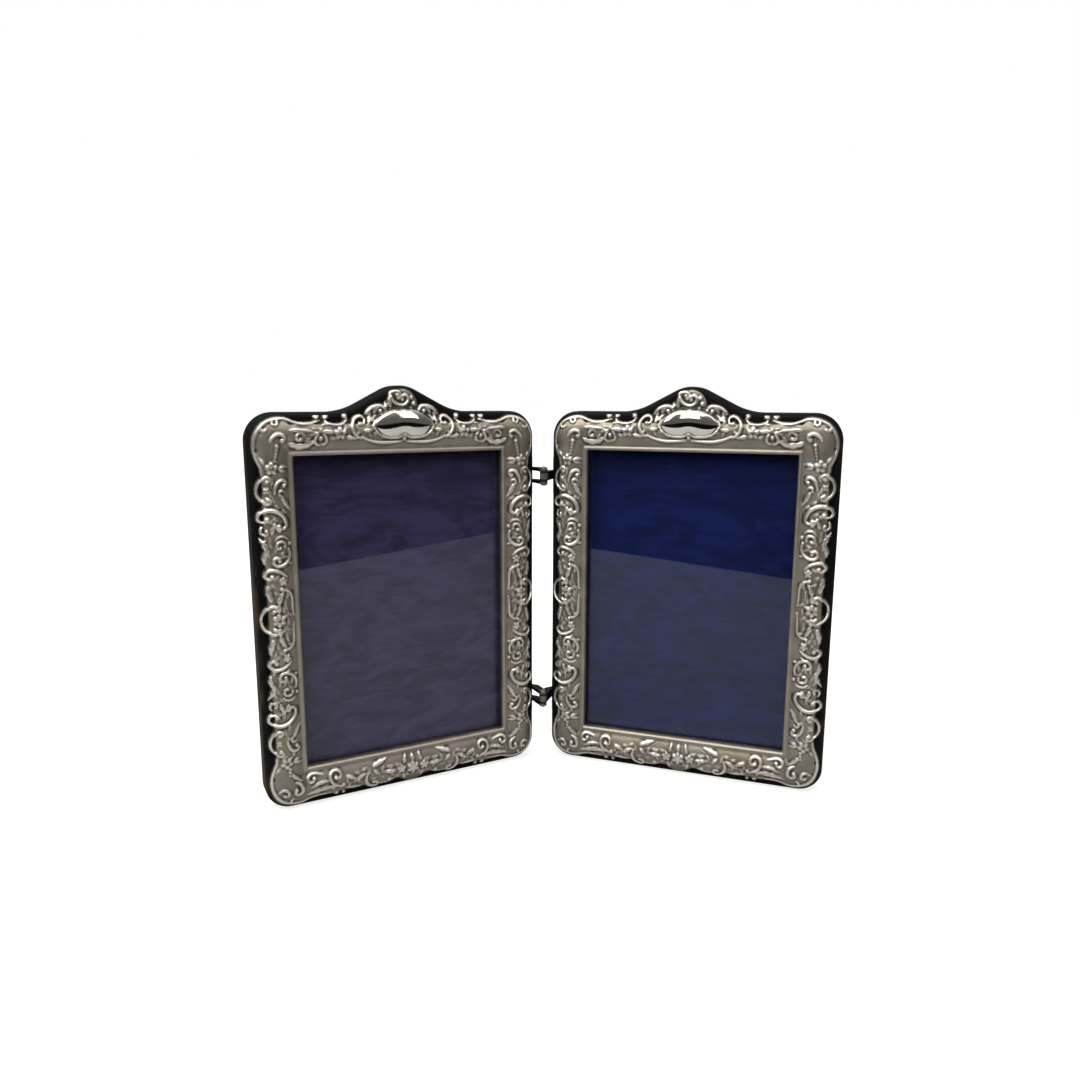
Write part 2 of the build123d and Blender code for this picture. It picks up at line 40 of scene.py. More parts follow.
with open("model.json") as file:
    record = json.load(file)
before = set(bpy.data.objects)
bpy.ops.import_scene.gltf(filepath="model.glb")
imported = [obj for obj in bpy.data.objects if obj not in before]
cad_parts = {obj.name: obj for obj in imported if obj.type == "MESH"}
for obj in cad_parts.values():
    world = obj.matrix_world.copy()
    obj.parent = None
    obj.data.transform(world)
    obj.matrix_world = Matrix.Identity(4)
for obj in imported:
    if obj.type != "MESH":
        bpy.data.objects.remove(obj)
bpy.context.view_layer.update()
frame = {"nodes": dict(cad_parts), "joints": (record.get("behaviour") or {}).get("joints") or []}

# Places that follow from the frame, in millimetres unless a name says otherwise
MM = 0.001
HINGE = next(joint for joint in frame["joints"] if joint["name"] == "book_hinge")
HALF_ANGLE = math.radians(HINGE["range_deg"][1] / 2)
SIDES = {"left": 1, "right": -1}
SHEET = 0.7
LIP_DEPTH = 1.0


def node_points(node, matrix):
    """A CAD node's vertices in the frame that matrix puts into the row."""
    mesh = frame["nodes"][node].data
    points = np.empty(len(mesh.vertices) * 3, dtype=np.float32)
    mesh.vertices.foreach_get("co", points)
    inverse = np.array(matrix.inverted())
    return points.reshape(-1, 3) @ inverse[:3, :3].T + inverse[:3, 3]


def leaf_place(name):
    """Matrix of one leaf's own frame: millimetres right of its left edge, behind the board's face, up."""
    swing = Matrix.Translation((HINGE["pos_m"][0], HINGE["pos_m"][1], 0))
    swing @= Matrix.Rotation(SIDES[name] * HALF_ANGLE, 4, "Z")
    corner = node_points(f"{name}_frame_board", swing).min(axis=0)
    return swing @ Matrix.Translation(corner) @ Matrix.Scale(MM, 4)


LEAVES = {name: leaf_place(name) for name in SIDES}
BOARD = node_points("left_frame_board", LEAVES["left"])
MOUNT = node_points("left_silver_mount", LEAVES["left"])
LIP = MOUNT[MOUNT[:, 1] > LIP_DEPTH]
LEAF_WIDTH = float(BOARD[:, 0].max())
PEAK = float(BOARD[:, 2].max())
SHOULDER = float(BOARD[BOARD[:, 0] < LEAF_WIDTH / 5][:, 2].max())
LIP_END = float(LIP[:, 1].max())
SIGHT_LEFT, SIGHT_RIGHT = float(LIP[:, 0].min()) + SHEET, float(LIP[:, 0].max()) - SHEET
SIGHT_FOOT, SIGHT_TOP = float(LIP[:, 2].min()) + SHEET, float(LIP[:, 2].max()) - SHEET
MIDDLE = LEAF_WIDTH / 2
SIGHT_MIDDLE = (SIGHT_FOOT + SIGHT_TOP) / 2

# Board edge and the grid that the silver is raised on
BOARD_ROUND = 2.2
CORNER_RADIUS = 10.0
HUMP_HALF_WIDTH = 28.0
HUMP_SLOPE = 0.88
GRID_ACROSS = 288
GRID_UP = 415
SEAT_BITE = 0.02
SNAP_SHARE = 0.4
SNAP_SLOPE = 0.2

# Section of the silver from the sight edge outwards
CUSHION_CREST = 8.0
CUSHION_INNER = 6.0
CUSHION_OUTER = 5.6
CUSHION_FOOT = 0.8
COVE_FOOT = 1.25
BEAD_POLISH = 0.2
BEAD_CLEAR = 0.9
MITRE_POWER = 6
EDGE_MARGIN = 1.05
EDGE_FADE = 0.8
EDGE_LIFT = 0.3
RELIEF_FULL = 0.7
CAVITY_BLUR = 12
CAVITY_DEPTH = 0.27
# Lip walls round the glass take the full tarnish colour: painted shade, the dark line where the silver turns
# down to the glass
LIP_SHADE_LOOK = {"relief": 0.0, "hollows_and_lip_shade": 1.0, "polish": 0.0}

# Plain ground of the silver: inset from the board, and round patches at the corners and the crest
GROUND_SIDE = 3.5
GROUND_TOP = 146.2
GROUND_FOOT = 3.2
GROUND_CORNER = 6.0
GROUND_PATCHES = (
    (9.6, 140.4, 7.9),
    (9.4, 9.2, 8.0),
    (6.2, 14.6, 3.8),
    (6.2, 135.4, 3.8),
    (46.6, 149.0, 4.0),
    (56.7, 152.2, 6.4),
    (56.7, 9.0, 8.0),
    (41.0, 8.0, 6.4),
)

# Strokes of the ornament
STROKE_STEP = 0.15
STROKE_BOLD = 1.14
STROKE_REACH = 1.3
STROKE_MARGIN = 0.3
RIDGE_FULLNESS = 0.75
GROOVE_SHARE = 0.25
LINE_AWAY = 0.25
LINE_WIDTH = 0.22
LINE_DEPTH = 0.2
SCROLL_TIP = 0.5
SCROLL_SWELL = 0.7
CURL_TURN = 100
EYE_SHARE = 0.62
EYE_RISE = 1.05
LEAF_NOTCH = 0.32
LEAF_VEIN = 0.4
LEAF_SKEW = 0.7
LEAF_FULLNESS = 0.75
LEAF_LEAST = 0.18
STRAIGHT = 60.0
ROW_TAPER = 0.25
FLOWER_EYE = 0.3
FLOWER_EYE_RISE = 0.95
PETAL_STEPS = 6
PETAL_TIP = 0.36
PETAL_STALK = 0.55
PETAL_CLEAR = 0.9
PETAL_VEIN = 0.2
FAR = 99.0
ALONE = ((False, False),)
BOTH_SIDES = ((False, False), (True, False))
ALL_CORNERS = tuple((x, z) for x in (False, True) for z in (False, True))
RAIL_FLOWER = 7.5
RAIL_FLOWERS = ((0.0, 2.7, 6), (55.3, 2.4, 5))
TOP_FLOWER = 32.4

# Husks that fill the bare ground
FILLER_STEP = 0.9
FILLER_START = (4.4, 4.0)
FILLER_TOP = 147.0
FILLER_OUT = 4.8
FILLER_INSET = 0.4
FILLER_ROOM = 0.7
FILLER_CORNER = 22.0
FILLER_CLEAR = 1.0
FILLER_TURNS = (40, -35, 140, -150)
FILLER_BENDS = (-60, 60)
FILLER_LEAF = (2.3, 1.0)
FILLER_RISE = 0.55

# Cartouche
CARTOUCHE_HALF = 11.6
CARTOUCHE_SHOULDER = 2.4
CARTOUCHE_POINT = 0.75
CARTOUCHE_TOP = 151.0
CARTOUCHE_DROP = 6.0
CARTOUCHE_FOOT = 140.4
CARTOUCHE_NOTCH = 1.3
CARTOUCHE_NOTCH_WIDTH = 1.7
CARTOUCHE_LIFT = 4.2
CARTOUCHE_LIFT_POWER = 5
CARTOUCHE_EDGE = 2.4
CARTOUCHE_RIM = 0.5
CARTOUCHE_RIM_RISE = 0.9
CARTOUCHE_RIM_STEPS = 160
ARC_BEADS = (-3.4, -1.7, 0.0, 1.7, 3.4)
ARC_RISE = 0.4
ARC_FALL = 0.04
INFLATE_ROUNDS = 700
INFLATE_ROUNDNESS = 0.6

# Brads, screws and turn buttons; slot length and weld are shares of a head's radius
BRAD_SHANK = 0.45
SCREW_SHANK = 0.9
HEAD_SEGMENTS = 32
HEAD_RINGS = 16
SHANK_SEGMENTS = 20
SLOT_LENGTH = 3.0
UNIT_WELD = 0.001
BUTTONS = ("inner_upper", "inner_lower", "outer_upper", "outer_lower")

# Wear: insets from the board's edge and distances from the hinge pin; distances from the gaps between
# knuckles over which painted shade darkens the knuckles
WEAR_SIDE = (1.6, 0.1)
WEAR_FOOT = (1.4, 0.1)
KNUCKLE_REACH = 2.6
KNUCKLE_RUBBED = (2.3 * MM, 1.5 * MM)
# Painted shade: the knuckles stay black near each gap so the barrels look round
KNUCKLE_GAP_SHADE = (0.15 * MM, 0.9 * MM)
RUST = (0.045, 0.030, 0.022)

# Room light as shares of white, and where along a direction it changes
ROOM_EYE_LEVEL = 0.11
ROOM_CEILING = 0.40
ROOM_BACKDROP = 0.09
ROOM_UNDER = 0.04
CEILING_BAND = (0.3, 0.97)
BACKDROP_BAND = (-0.2, 0.5)
UNDER_BAND = (-0.04, 0.03)
MIRRORED_SHARE = 0.51

# Camera: sensor in millimetres, nearest sight in metres
SENSOR_WIDTH = 36
CLIP_START = 0.01

# Table, and soft boxes: place, height faced and size in metres, then the power setting and its share
FLOOR_REACH = 6.0
FLOOR_GLOW = 0.75
FLOOR_GLOW_BAND = (0.12, 0.5)
LIGHTS = {
    "top_light": ((-0.22, -0.16, 0.72), 0.05, (1.0, 0.6), "top_light", 1.0),
    "rear_light": ((0.1, 0.45, 0.7), 0.08, (0.5, 0.5), "rear_light", 1.0),
    "right_light": ((0.489, -0.456, 0.70), 0.12, (0.28, 0.72), "side_light", 1.07),
    "left_light": ((-0.603, -0.266, 0.70), 0.12, (0.28, 0.72), "side_light", 1.55),
    "left_front_light": ((-0.321, -0.602, 0.70), 0.12, (0.28, 0.72), "side_light", 1.4),
}


# Settings


def millimetres(name, description, value):
    """A length property, given in millimetres."""
    return FloatProperty(name=name, description=description, default=value * MM, unit="LENGTH")


def degrees(name, description, value):
    """An angle property, given in degrees."""
    return FloatProperty(name=name, description=description, default=math.radians(value), subtype="ANGLE")


def power(name, description, value):
    """A light's power property, given in watts."""
    return FloatProperty(name=name, description=description, default=value, min=0)


def colour(name, description, *value):
    """A colour property."""
    return FloatVectorProperty(
        name=name, description=description, default=value, subtype="COLOR", min=0, max=1, size=3
    )


class SilverSizes(bpy.types.PropertyGroup):
    """Sizes of the stamped silver that change how rich it looks."""

    bead_width: millimetres("Sight bead width", "Width of the plain bead round the glass", 1.6)
    bead_foot: millimetres("Sight bead foot", "Height where the bead starts", 0.9)
    bead_top: millimetres("Sight bead top", "Height of the bead's crown", 1.7)
    cushion_height: millimetres("Cushion height", "Height of the rails' swelling", 3.0)
    cartouche_height: millimetres("Cartouche height", "Crown of the smooth cartouche", 4.3)
    relief: FloatProperty(
        name="Relief",
        description="How boldly the ornament is raised",
        default=1.0,
        min=0.2,
        max=1.2,
        subtype="FACTOR",
    )


class FixingSizes(bpy.types.PropertyGroup):
    """Sizes of the brads in the flowers and the screws of the turn buttons."""

    brad_radius: millimetres("Brad head radius", "Round head in each flower", 0.75)
    brad_height: millimetres("Brad head height", "Dome of the brad", 0.5)
    screw_radius: millimetres("Screw head radius", "Head on a turn button", 2.1)
    screw_height: millimetres("Screw head height", "Dome of the screw", 1.0)
    slot_width: millimetres("Slot width", "Slot for the driver", 0.45)


class FinishColours(bpy.types.PropertyGroup):
    """Colours of the finishes."""

    silver: colour("Silver", "Polished high parts", 0.90, 0.86, 0.775)
    silver_ground: colour("Silver ground", "Matted ground between the scrolls", 0.43, 0.38, 0.30)
    # Tarnish of the hollows, and also the painted shade on the lip walls round the glass
    silver_tarnish_and_shade: colour("Tarnish", "Hollows of the relief", 0.055, 0.047, 0.037)
    wood: colour("Black wood", "Lacquered board", 0.0046, 0.0045, 0.0043)
    wood_wear: colour("Worn wood", "Brown where the lacquer is rubbed", 0.085, 0.047, 0.026)
    left_silk: colour("Left silk", "Purple watered silk", 0.0350, 0.0290, 0.0790)
    right_silk: colour("Right silk", "Blue watered silk", 0.0036, 0.0092, 0.0645)
    velvet: colour("Velvet", "Backs of the leaves", 0.008, 0.012, 0.045)
    card: colour("Card", "Packing behind the silk", 0.30, 0.29, 0.27)
    brass: colour("Brass", "Turn buttons and their screws", 0.66, 0.45, 0.17)
    steel: colour("Dark steel", "Hinge arms and screws", 0.030, 0.029, 0.028)
    bright_steel: colour("Bright steel", "Hinge pins and rubbed knuckles", 0.25, 0.243, 0.213)


class StageSettings(bpy.types.PropertyGroup):
    """Camera and studio."""

    camera_place: FloatVectorProperty(
        name="Camera",
        description="Where the camera stands",
        default=(-0.0276, -0.3203, 0.1552),
        subtype="XYZ",
        unit="LENGTH",
    )
    lens: FloatProperty(name="Lens", description="Focal length in millimetres", default=27.25)
    yaw: degrees("Yaw", "Camera's turn to the right", 4.45)
    pitch: degrees("Pitch", "Camera's tilt downwards", 9.85)
    roll: degrees("Roll", "Camera's lean", 0.17)
    floor: colour("Floor", "Pale table", 0.53, 0.53, 0.53)
    floor_front: millimetres("Table edge", "How far the table reaches in front", 384.0)
    floor_turn: degrees("Table turn", "Turn of the table's front edge", -1.0)
    top_light: power("Top light", "Watts of the soft box overhead", 3.0)
    side_light: power("Side light", "Watts of each soft box at the sides", 1.32)
    rear_light: power("Rear light", "Watts of the soft box behind", 1.0)


# Ornament of the silver: everything here is in millimetres, x from a leaf's left edge, z from its foot


def run_of(x, z, heading, bends):
    """Points of a line from (x, z) through bends of (degrees, first and last radius), left turns positive."""
    points = [(x, z)]
    heading = math.radians(heading)
    for turn, first, last in bends:
        length = abs(math.radians(turn)) * (first + last) / 2
        steps = max(3, int(length / STROKE_STEP))
        step = math.radians(turn) / steps
        for index in range(steps):
            radius = first + (last - first) * (index + 0.5) / steps
            x += abs(step) * radius * math.cos(heading + step / 2)
            z += abs(step) * radius * math.sin(heading + step / 2)
            heading += step
            points.append((x, z))
    return points


class Relief:
    """Height field of one leaf's stamped silver over the grid of places x, z."""

    def __init__(self, x, z):
        self.x, self.z = x, z
        self.rise = np.zeros((len(x), len(z)))
        self.line = np.zeros_like(self.rise)
        self.cover = np.full_like(self.rise, FAR)
        self.flips = ALONE

    def strokes(self, flips):
        """Set the mirror images of what follows, and hand out the strokes to draw it with."""
        self.flips = flips
        return self.scroll, self.leaf, self.bead, self.flower

    def press(self, points, half_widths, rise, groove=0.0):
        """Raise a rounded ridge along points, once for each mirror image, with a chased line round it."""
        points = np.array(points, dtype=float)
        half_widths = STROKE_BOLD * np.broadcast_to(np.asarray(half_widths, dtype=float), len(points))
        reach = half_widths.max() + STROKE_REACH
        for flip_x, flip_z in self.flips:
            across = LEAF_WIDTH - points[:, 0] if flip_x else points[:, 0]
            along = 2 * SIGHT_MIDDLE - points[:, 1] if flip_z else points[:, 1]
            columns = slice(*np.searchsorted(self.x, (across.min() - reach, across.max() + reach)))
            rows = slice(*np.searchsorted(self.z, (along.min() - reach, along.max() + reach)))
            apart = np.hypot(self.x[columns, None, None] - across, self.z[None, rows, None] - along)
            share = apart / half_widths
            nearest = share.argmin(axis=2)
            share = np.take_along_axis(share, nearest[:, :, None], axis=2)[:, :, 0]
            outside = (share - 1) * half_widths[nearest]
            bump = rise * np.clip(1 - share**2, 0, 1) ** RIDGE_FULLNESS
            bump -= groove * np.exp(-((share / GROOVE_SHARE) ** 2))
            line = np.exp(-(((outside - LINE_AWAY) / LINE_WIDTH) ** 2))
            here = (columns, rows)
            self.rise[here] = np.maximum(self.rise[here], bump)
            self.line[here] = np.maximum(self.line[here], line)
            self.cover[here] = np.minimum(self.cover[here], outside - STROKE_MARGIN)

    def room(self, x, z):
        """How far (x, z) lies from the nearest stroke."""
        return self.cover[np.searchsorted(self.x, x), np.searchsorted(self.z, z)]

    def scroll(self, x, z, heading, ahead, behind=(), width=1.2, rise=0.8):
        """Scroll through (x, z) that runs off both ways in bends and thins towards its curled ends."""
        back = run_of(x, z, heading + 180, behind)
        points = back[:0:-1] + run_of(x, z, heading, ahead)
        along = np.linspace(0, 1, len(points))
        swell = SCROLL_TIP + (1 - SCROLL_TIP) * np.sin(np.pi * along) ** SCROLL_SWELL
        self.press(points, width / 2 * swell, rise)
        for end, curl in ((points[-1], ahead), (points[0], behind)):
            if curl and abs(curl[-1][0]) > CURL_TURN:
                self.bead(*end, width * EYE_SHARE, rise * EYE_RISE)

    def leaf(self, x, z, heading, length, width, bend=0.0, lobes=3, rise=0.75):
        """Acanthus leaf from its stalk at (x, z): lobed edge, pointed tip and a sunk vein."""
        radius = length / math.radians(bend) if abs(bend) > 1 else length * STRAIGHT
        turn = bend if abs(bend) > 1 else math.degrees(1 / STRAIGHT)
        points = run_of(x, z, heading, [(turn, abs(radius), abs(radius))])
        along = np.linspace(0, 1, len(points))
        blade = np.sin(np.pi * along**LEAF_SKEW) ** LEAF_FULLNESS
        notches = 1 - LEAF_NOTCH * np.abs(np.cos(np.pi * lobes * along)) ** 3
        self.press(points, np.maximum(width / 2 * blade * notches, LEAF_LEAST), rise, rise * LEAF_VEIN)

    def bead(self, x, z, radius, rise=0.8):
        """Round bead."""
        self.press([(x, z)], radius, rise)

    def beads(self, start, end, count, radius, rise=0.7):
        """Row of beads, largest at its start."""
        for share in np.linspace(0, 1, count):
            place = [a + (b - a) * share for a, b in zip(start, end)]
            self.bead(*place, radius * (1 - ROW_TAPER * share), rise)

    def flower(self, x, z, radius, petals=5, turn=90.0, rise=0.75):
        """Open flower: rounded petals with a sunk vein and a raised eye."""
        reach = np.linspace(FLOWER_EYE, 1 - PETAL_TIP, PETAL_STEPS) * radius
        tip = radius * min(PETAL_TIP, PETAL_CLEAR * math.sin(math.pi / petals) * (1 - PETAL_TIP))
        for petal in range(petals):
            angle = math.radians(turn + 360 * petal / petals)
            points = np.stack((x + reach * math.cos(angle), z + reach * math.sin(angle)), axis=1)
            self.press(points, np.linspace(PETAL_STALK, 1, PETAL_STEPS) * tip, rise, PETAL_VEIN * rise)
        self.bead(x, z, FLOWER_EYE * radius, rise * FLOWER_EYE_RISE)


def side_rail(relief):
    """Upper half of the left rail, with its three mirror images."""
    scroll, leaf, bead, flower = relief.strokes(ALL_CORNERS)
    middle = SIGHT_MIDDLE
    for rise, radius, petals in RAIL_FLOWERS:
        flower(RAIL_FLOWER, middle + rise, radius, petals)
    # Big scroll round the middle flower, and the husks and leaves over it
    scroll(1.5, middle, 90, [(-74, 5.7, 5.2), (-210, 1.2, 0.7)], width=1.25)
    leaf(7.5, middle + 2.9, 86, 3.6, 1.7, lobes=1)
    leaf(7.7, middle + 6.2, 78, 4.6, 1.9, bend=-24, lobes=2)
    bead(8.9, middle + 11.6, 0.6)
    leaf(5.2, middle + 7.2, 112, 6.4, 2.1, bend=-20)
    scroll(12.7, 80.5, 90, [(6, 30, 30), (100, 3.2, 2.6)], [(8, 30, 30)], width=0.95)
    flower(9.7, 89.5, 1.7)
    # Arch, the open scroll over it and the leaves on its outer side
    scroll(5.6, 93.8, 0, [(-38, 7.0, 6.0), (-10, 12, 12)], [(70, 2.6, 2.0), (190, 1.6, 1.0)])
    scroll(8.6, 95.1, 0, [(88, 4.1, 4.0), (24, 6, 5)], [(-100, 2.1, 1.7), (-190, 1.3, 0.8)])
    bead(12.8, 96.0, 0.55)
    leaf(4.3, 100.6, 238, 5.2, 1.8, bend=52)
    leaf(4.7, 99.6, 98, 6.4, 1.9, bend=28)
    # Small arches and the big scroll
    scroll(9.7, 104.1, 0, [(-110, 1.5, 1.2)], [(110, 1.9, 1.4), (120, 0.9, 0.6)], width=0.9)
    scroll(9.9, 105.9, 0, [(-52, 3.0, 2.4)], [(58, 3.0, 2.4)], width=0.75)
    bead(12.8, 103.2, 0.6)
    scroll(6.0, 115.5, 0, [(-84, 6.2, 5.4), (-170, 1.8, 1.0)], [(42, 5.4, 4.2), (210, 2.0, 1.2)], 1.45, 0.95)
    scroll(2.9, 107.8, 270, [(110, 1.3, 1.1), (140, 0.9, 0.6)], [(-34, 3.4, 3.4)], width=0.9)
    leaf(9.6, 107.4, 118, 4.6, 1.5, bend=26, lobes=2)
    leaf(6.4, 107.0, 80, 4.4, 1.5, bend=-20, lobes=2)
    # Paired scrolls, the leaf tail beside them and the sprig under the corner
    scroll(2.2, 122.5, 90, [(-66, 5.4, 4.9), (-220, 1.0, 0.7)], [(66, 5.4, 4.9), (220, 1.0, 0.7)])
    scroll(8.1, 121.4, 88, [(-30, 7, 7), (-62, 3.0, 2.0), (-170, 1.2, 0.8)], width=1.2)
    flower(5.2, 122.5, 1.25, petals=4, turn=45)
    leaf(10.6, 120.6, 292, 6.0, 1.7, bend=14)
    scroll(10.6, 122.4, 10, [(-80, 1.1, 0.8)], [(120, 1.1, 0.8)], width=0.8)
    leaf(10.0, 130.3, 24, 3.4, 1.3, bend=-30, lobes=1)
    leaf(10.0, 130.1, -30, 3.0, 1.2, bend=26, lobes=1)
    leaf(5.1, 131.9, 128, 2.6, 1.2, lobes=1)


def corners(relief):
    """Rims that hug the rounded corners, and a hook, curls and a row of beads inside the upper ones."""
    scroll, *_ = relief.strokes(ALL_CORNERS)
    rim_end = [(24, 15, 15), (-26, 10, 10)]
    scroll(1.9, 138.6, 90, [(-92, 9.3, 9.3), (-24, 7, 7), (32, 11, 13), (8, 34, 34)], rim_end, 1.15)
    relief.strokes(BOTH_SIDES)
    scroll(9.5, 145.5, 0, [(130, 1.1, 0.8)], [(-130, 1.1, 0.8)], width=0.85)
    scroll(4.6, 144.2, 280, [(150, 1.0, 0.7)], [(-40, 2.0, 2.0)], width=0.85)
    scroll(9.3, 142.0, 34, [(-90, 2.5, 2.0), (-130, 1.1, 0.7)], [(34, 5, 5)], width=1.25)
    relief.beads((9.8, 138.0), (8.9, 133.0), 5, 0.75)


def top_rail(relief):
    """Left half of the top rail from the corner to the leaf beside the cartouche."""
    scroll, leaf, bead, flower = relief.strokes(BOTH_SIDES)
    leaf(14.2, 143.6, 8, 9.2, 1.5, bend=-24, lobes=2)
    leaf(13.8, 139.2, -38, 11.2, 2.3, bend=92, lobes=4, rise=0.9)
    scroll(18.6, 142.8, 180, [(70, 2.2, 1.9), (160, 1.2, 0.7)], width=0.9)
    scroll(23.2, 139.7, 270, [(100, 1.6, 1.5)], [(-60, 2.6, 2.6)], width=1.0)
    scroll(27.4, 139.9, 270, [(-100, 1.6, 1.5)], [(60, 2.6, 2.6)], width=1.0)
    leaf(29.8, 142.9, 170, 4.4, 1.7, bend=18)
    flower(TOP_FLOWER, SIGHT_TOP + CUSHION_CREST, 2.5)
    leaf(34.6, 141.0, -18, 4.4, 1.5, bend=20, lobes=2)
    scroll(31.2, 145.5, 0, [(30, 7, 6), (48, 2.4, 1.8)], [(-30, 7, 6), (-48, 2.4, 1.8)], width=1.0)
    scroll(37.0, 144.7, 90, [(-76, 4.0, 3.5), (-230, 1.7, 1.0)], [(70, 4.6, 4.6)], width=1.35, rise=0.9)
    leaf(41.3, 143.2, 4, 3.2, 1.5, lobes=1, rise=0.9)
    scroll(40.4, 140.8, -30, [(32, 17, 17), (4, 90, 90)], width=1.05)
    leaf(43.2, 145.6, 70, 4.6, 1.7, bend=20)
    for x, z, radius in (
        (25.3, 140.6, 0.7),
        (23.9, 142.4, 0.75),
        (24.3, 148.3, 1.0),
        (27.7, 148.3, 0.9),
        (34.7, 148.3, 0.9),
    ):
        bead(x, z, radius)


def crest(relief):
    """Swirl of scrolls over the cartouche, and the scrolls that hug its shoulders."""
    scroll, leaf, bead, _ = relief.strokes(BOTH_SIDES)
    scroll(48.0, 152.3, 0, [(-90, 2.2, 1.8), (-190, 1.1, 0.8)], [(50, 7.0, 5.6), (30, 2.4, 2.0)], 1.3)
    leaf(45.6, 149.6, 62, 3.6, 1.3, bend=-30, lobes=2, rise=0.6)
    leaf(44.2, 146.6, 56, 3.4, 1.3, bend=-24, lobes=2, rise=0.6)
    relief.strokes(ALONE)
    scroll(56.6, 152.4, 0, [(104, 2.7, 2.1), (210, 1.4, 0.8)], [(-84, 4.3, 3.9)], 1.25, 0.95)
    scroll(54.2, 157.8, 0, [(-74, 2.3, 1.9), (-120, 1.0, 0.7)], [(80, 2.6, 2.2)], 1.0)
    leaf(52.2, 151.4, 104, 4.8, 1.6, bend=-22, lobes=2)
    leaf(50.3, 150.6, 84, 3.0, 1.3, bend=20, lobes=1)
    for x, z, radius in (
        (54.9, 156.2, 0.7),
        (60.5, 155.3, 0.75),
        (61.3, 153.0, 0.8),
        (60.2, 151.2, 0.65),
        (62.7, 150.6, 0.55),
        (MIDDLE, 140.0, 0.75),
    ):
        bead(x, z, radius)
    for x in ARC_BEADS:
        bead(MIDDLE + x, CARTOUCHE_TOP + ARC_RISE - ARC_FALL * x * x, 0.5, 0.7)


def bottom_rail(relief):
    """Left half of the bottom rail: corner curls, loops, leaf tails and the flowers in the middle."""
    scroll, leaf, bead, flower = relief.strokes(BOTH_SIDES)
    # Corner
    scroll(6.0, 9.0, 0, [(-110, 1.9, 1.5), (-120, 1.0, 0.7)], [(62, 2.2, 1.8)], width=1.1)
    scroll(8.6, 4.0, 70, [(-60, 1.4, 1.2)], [(70, 1.6, 1.2)], width=1.0)
    scroll(13.0, 8.0, 270, [(-120, 1.9, 1.4), (-120, 1.1, 0.7)], [(80, 3.4, 3.0)], width=1.3)
    leaf(9.2, 15.0, 306, 5.2, 1.7, bend=18)
    relief.beads((8.6, 17.2), (8.4, 14.6), 3, 0.7)
    # Loops and leaf tails
    scroll(17.4, 13.1, 172, [(60, 2.4, 2.0), (230, 1.6, 0.9)], [(-18, 12, 12)], width=1.05)
    leaf(14.4, 5.4, 14, 13.4, 2.0, bend=-20, lobes=5)
    leaf(17.5, 8.6, 20, 5.4, 1.5, bend=-26)
    scroll(23.4, 10.6, 90, [(-185, 2.2, 2.0), (-140, 1.4, 0.8)], [(66, 4.2, 4.2), (-6, 20, 20)], 1.15)
    leaf(29.6, 9.6, -18, 4.2, 1.7, bend=-14)
    leaf(33.9, 7.4, 34, 3.8, 1.7, bend=-16)
    leaf(29.5, 5.0, -14, 6.4, 1.5, bend=16)
    scroll(37.4, 6.4, 270, [(82, 4.1, 3.5), (220, 1.4, 0.8)], [(-34, 4.4, 4.4)], width=1.3)
    leaf(40.4, 11.2, 24, 6.8, 2.0, bend=-8, rise=0.9)
    leaf(40.6, 9.6, -40, 3.0, 1.4, lobes=1)
    leaf(45.6, 8.1, -4, 4.0, 1.8, lobes=2, rise=0.9)
    scroll(45.0, 3.0, 0, [(40, 6, 5)], [(-30, 4, 4)], width=0.9)
    for x, z, radius in ((28.4, 6.5, 0.8), (25.8, 3.1, 0.9), (28.6, 2.8, 0.75), (46.9, 4.4, 0.95)):
        bead(x, z, radius)
    # Flowers, and the leaves at them
    flower(51.9, 7.9, 1.9)
    leaf(53.0, 10.2, 62, 3.6, 1.5, bend=30, lobes=2)
    leaf(52.4, 5.6, -60, 3.2, 1.4, bend=-30, lobes=1)
    relief.strokes(ALONE)
    flower(MIDDLE, SIGHT_FOOT - CUSHION_CREST, 2.8, petals=6)
    leaf(MIDDLE, 10.6, 90, 2.8, 1.6, lobes=1)


def cartouche_rim(relief):
    """Thin raised line along the foot and the top of the cartouche."""
    relief.strokes(ALONE)
    rim = np.linspace(MIDDLE - CARTOUCHE_HALF, MIDDLE + CARTOUCHE_HALF, CARTOUCHE_RIM_STEPS)
    for edge in cartouche_edges(rim):
        relief.press(np.stack((rim, edge), axis=1), CARTOUCHE_RIM, CARTOUCHE_RIM_RISE)


def fillers(relief):
    """Small husks wherever the ground between the scrolls would stay bare."""
    relief.strokes(BOTH_SIDES)
    turn = 0
    start_x, start_z = FILLER_START
    for x in np.arange(start_x, MIDDLE, FILLER_STEP):
        for z in np.arange(start_z, FILLER_TOP, FILLER_STEP):
            out = max(SIGHT_LEFT - x, SIGHT_FOOT - z, z - SIGHT_TOP)
            in_cartouche = abs(x - MIDDLE) < CARTOUCHE_HALF and z > CARTOUCHE_FOOT - FILLER_CLEAR
            in_corner = x < SIGHT_LEFT and not FILLER_CORNER < z < SHOULDER - FILLER_CORNER
            if in_cartouche or in_corner or out < FILLER_OUT:
                continue
            if ground_cover(x, z) > -FILLER_INSET or relief.room(x, z) < FILLER_ROOM:
                continue
            turn += 1
            heading = (90 if x < SIGHT_LEFT else 0) + FILLER_TURNS[turn % 4]
            relief.leaf(x, z, heading, *FILLER_LEAF, FILLER_BENDS[turn % 2], lobes=1, rise=FILLER_RISE)


# Shape of the silver: ground, cushion and cartouche under the ornament


def soften(field, rounds):
    """Blur a grid field a little, once for each round."""
    for _ in range(rounds):
        field = np.pad(field, 1, mode="edge")
        field = (field[:-2] + 2 * field[1:-1] + field[2:]) / 4
        field = (field[:, :-2] + 2 * field[:, 1:-1] + field[:, 2:]) / 4
    return field


def ease(field):
    """Smooth step from 0 to 1."""
    field = np.clip(field, 0, 1)
    return field * field * (3 - 2 * field)


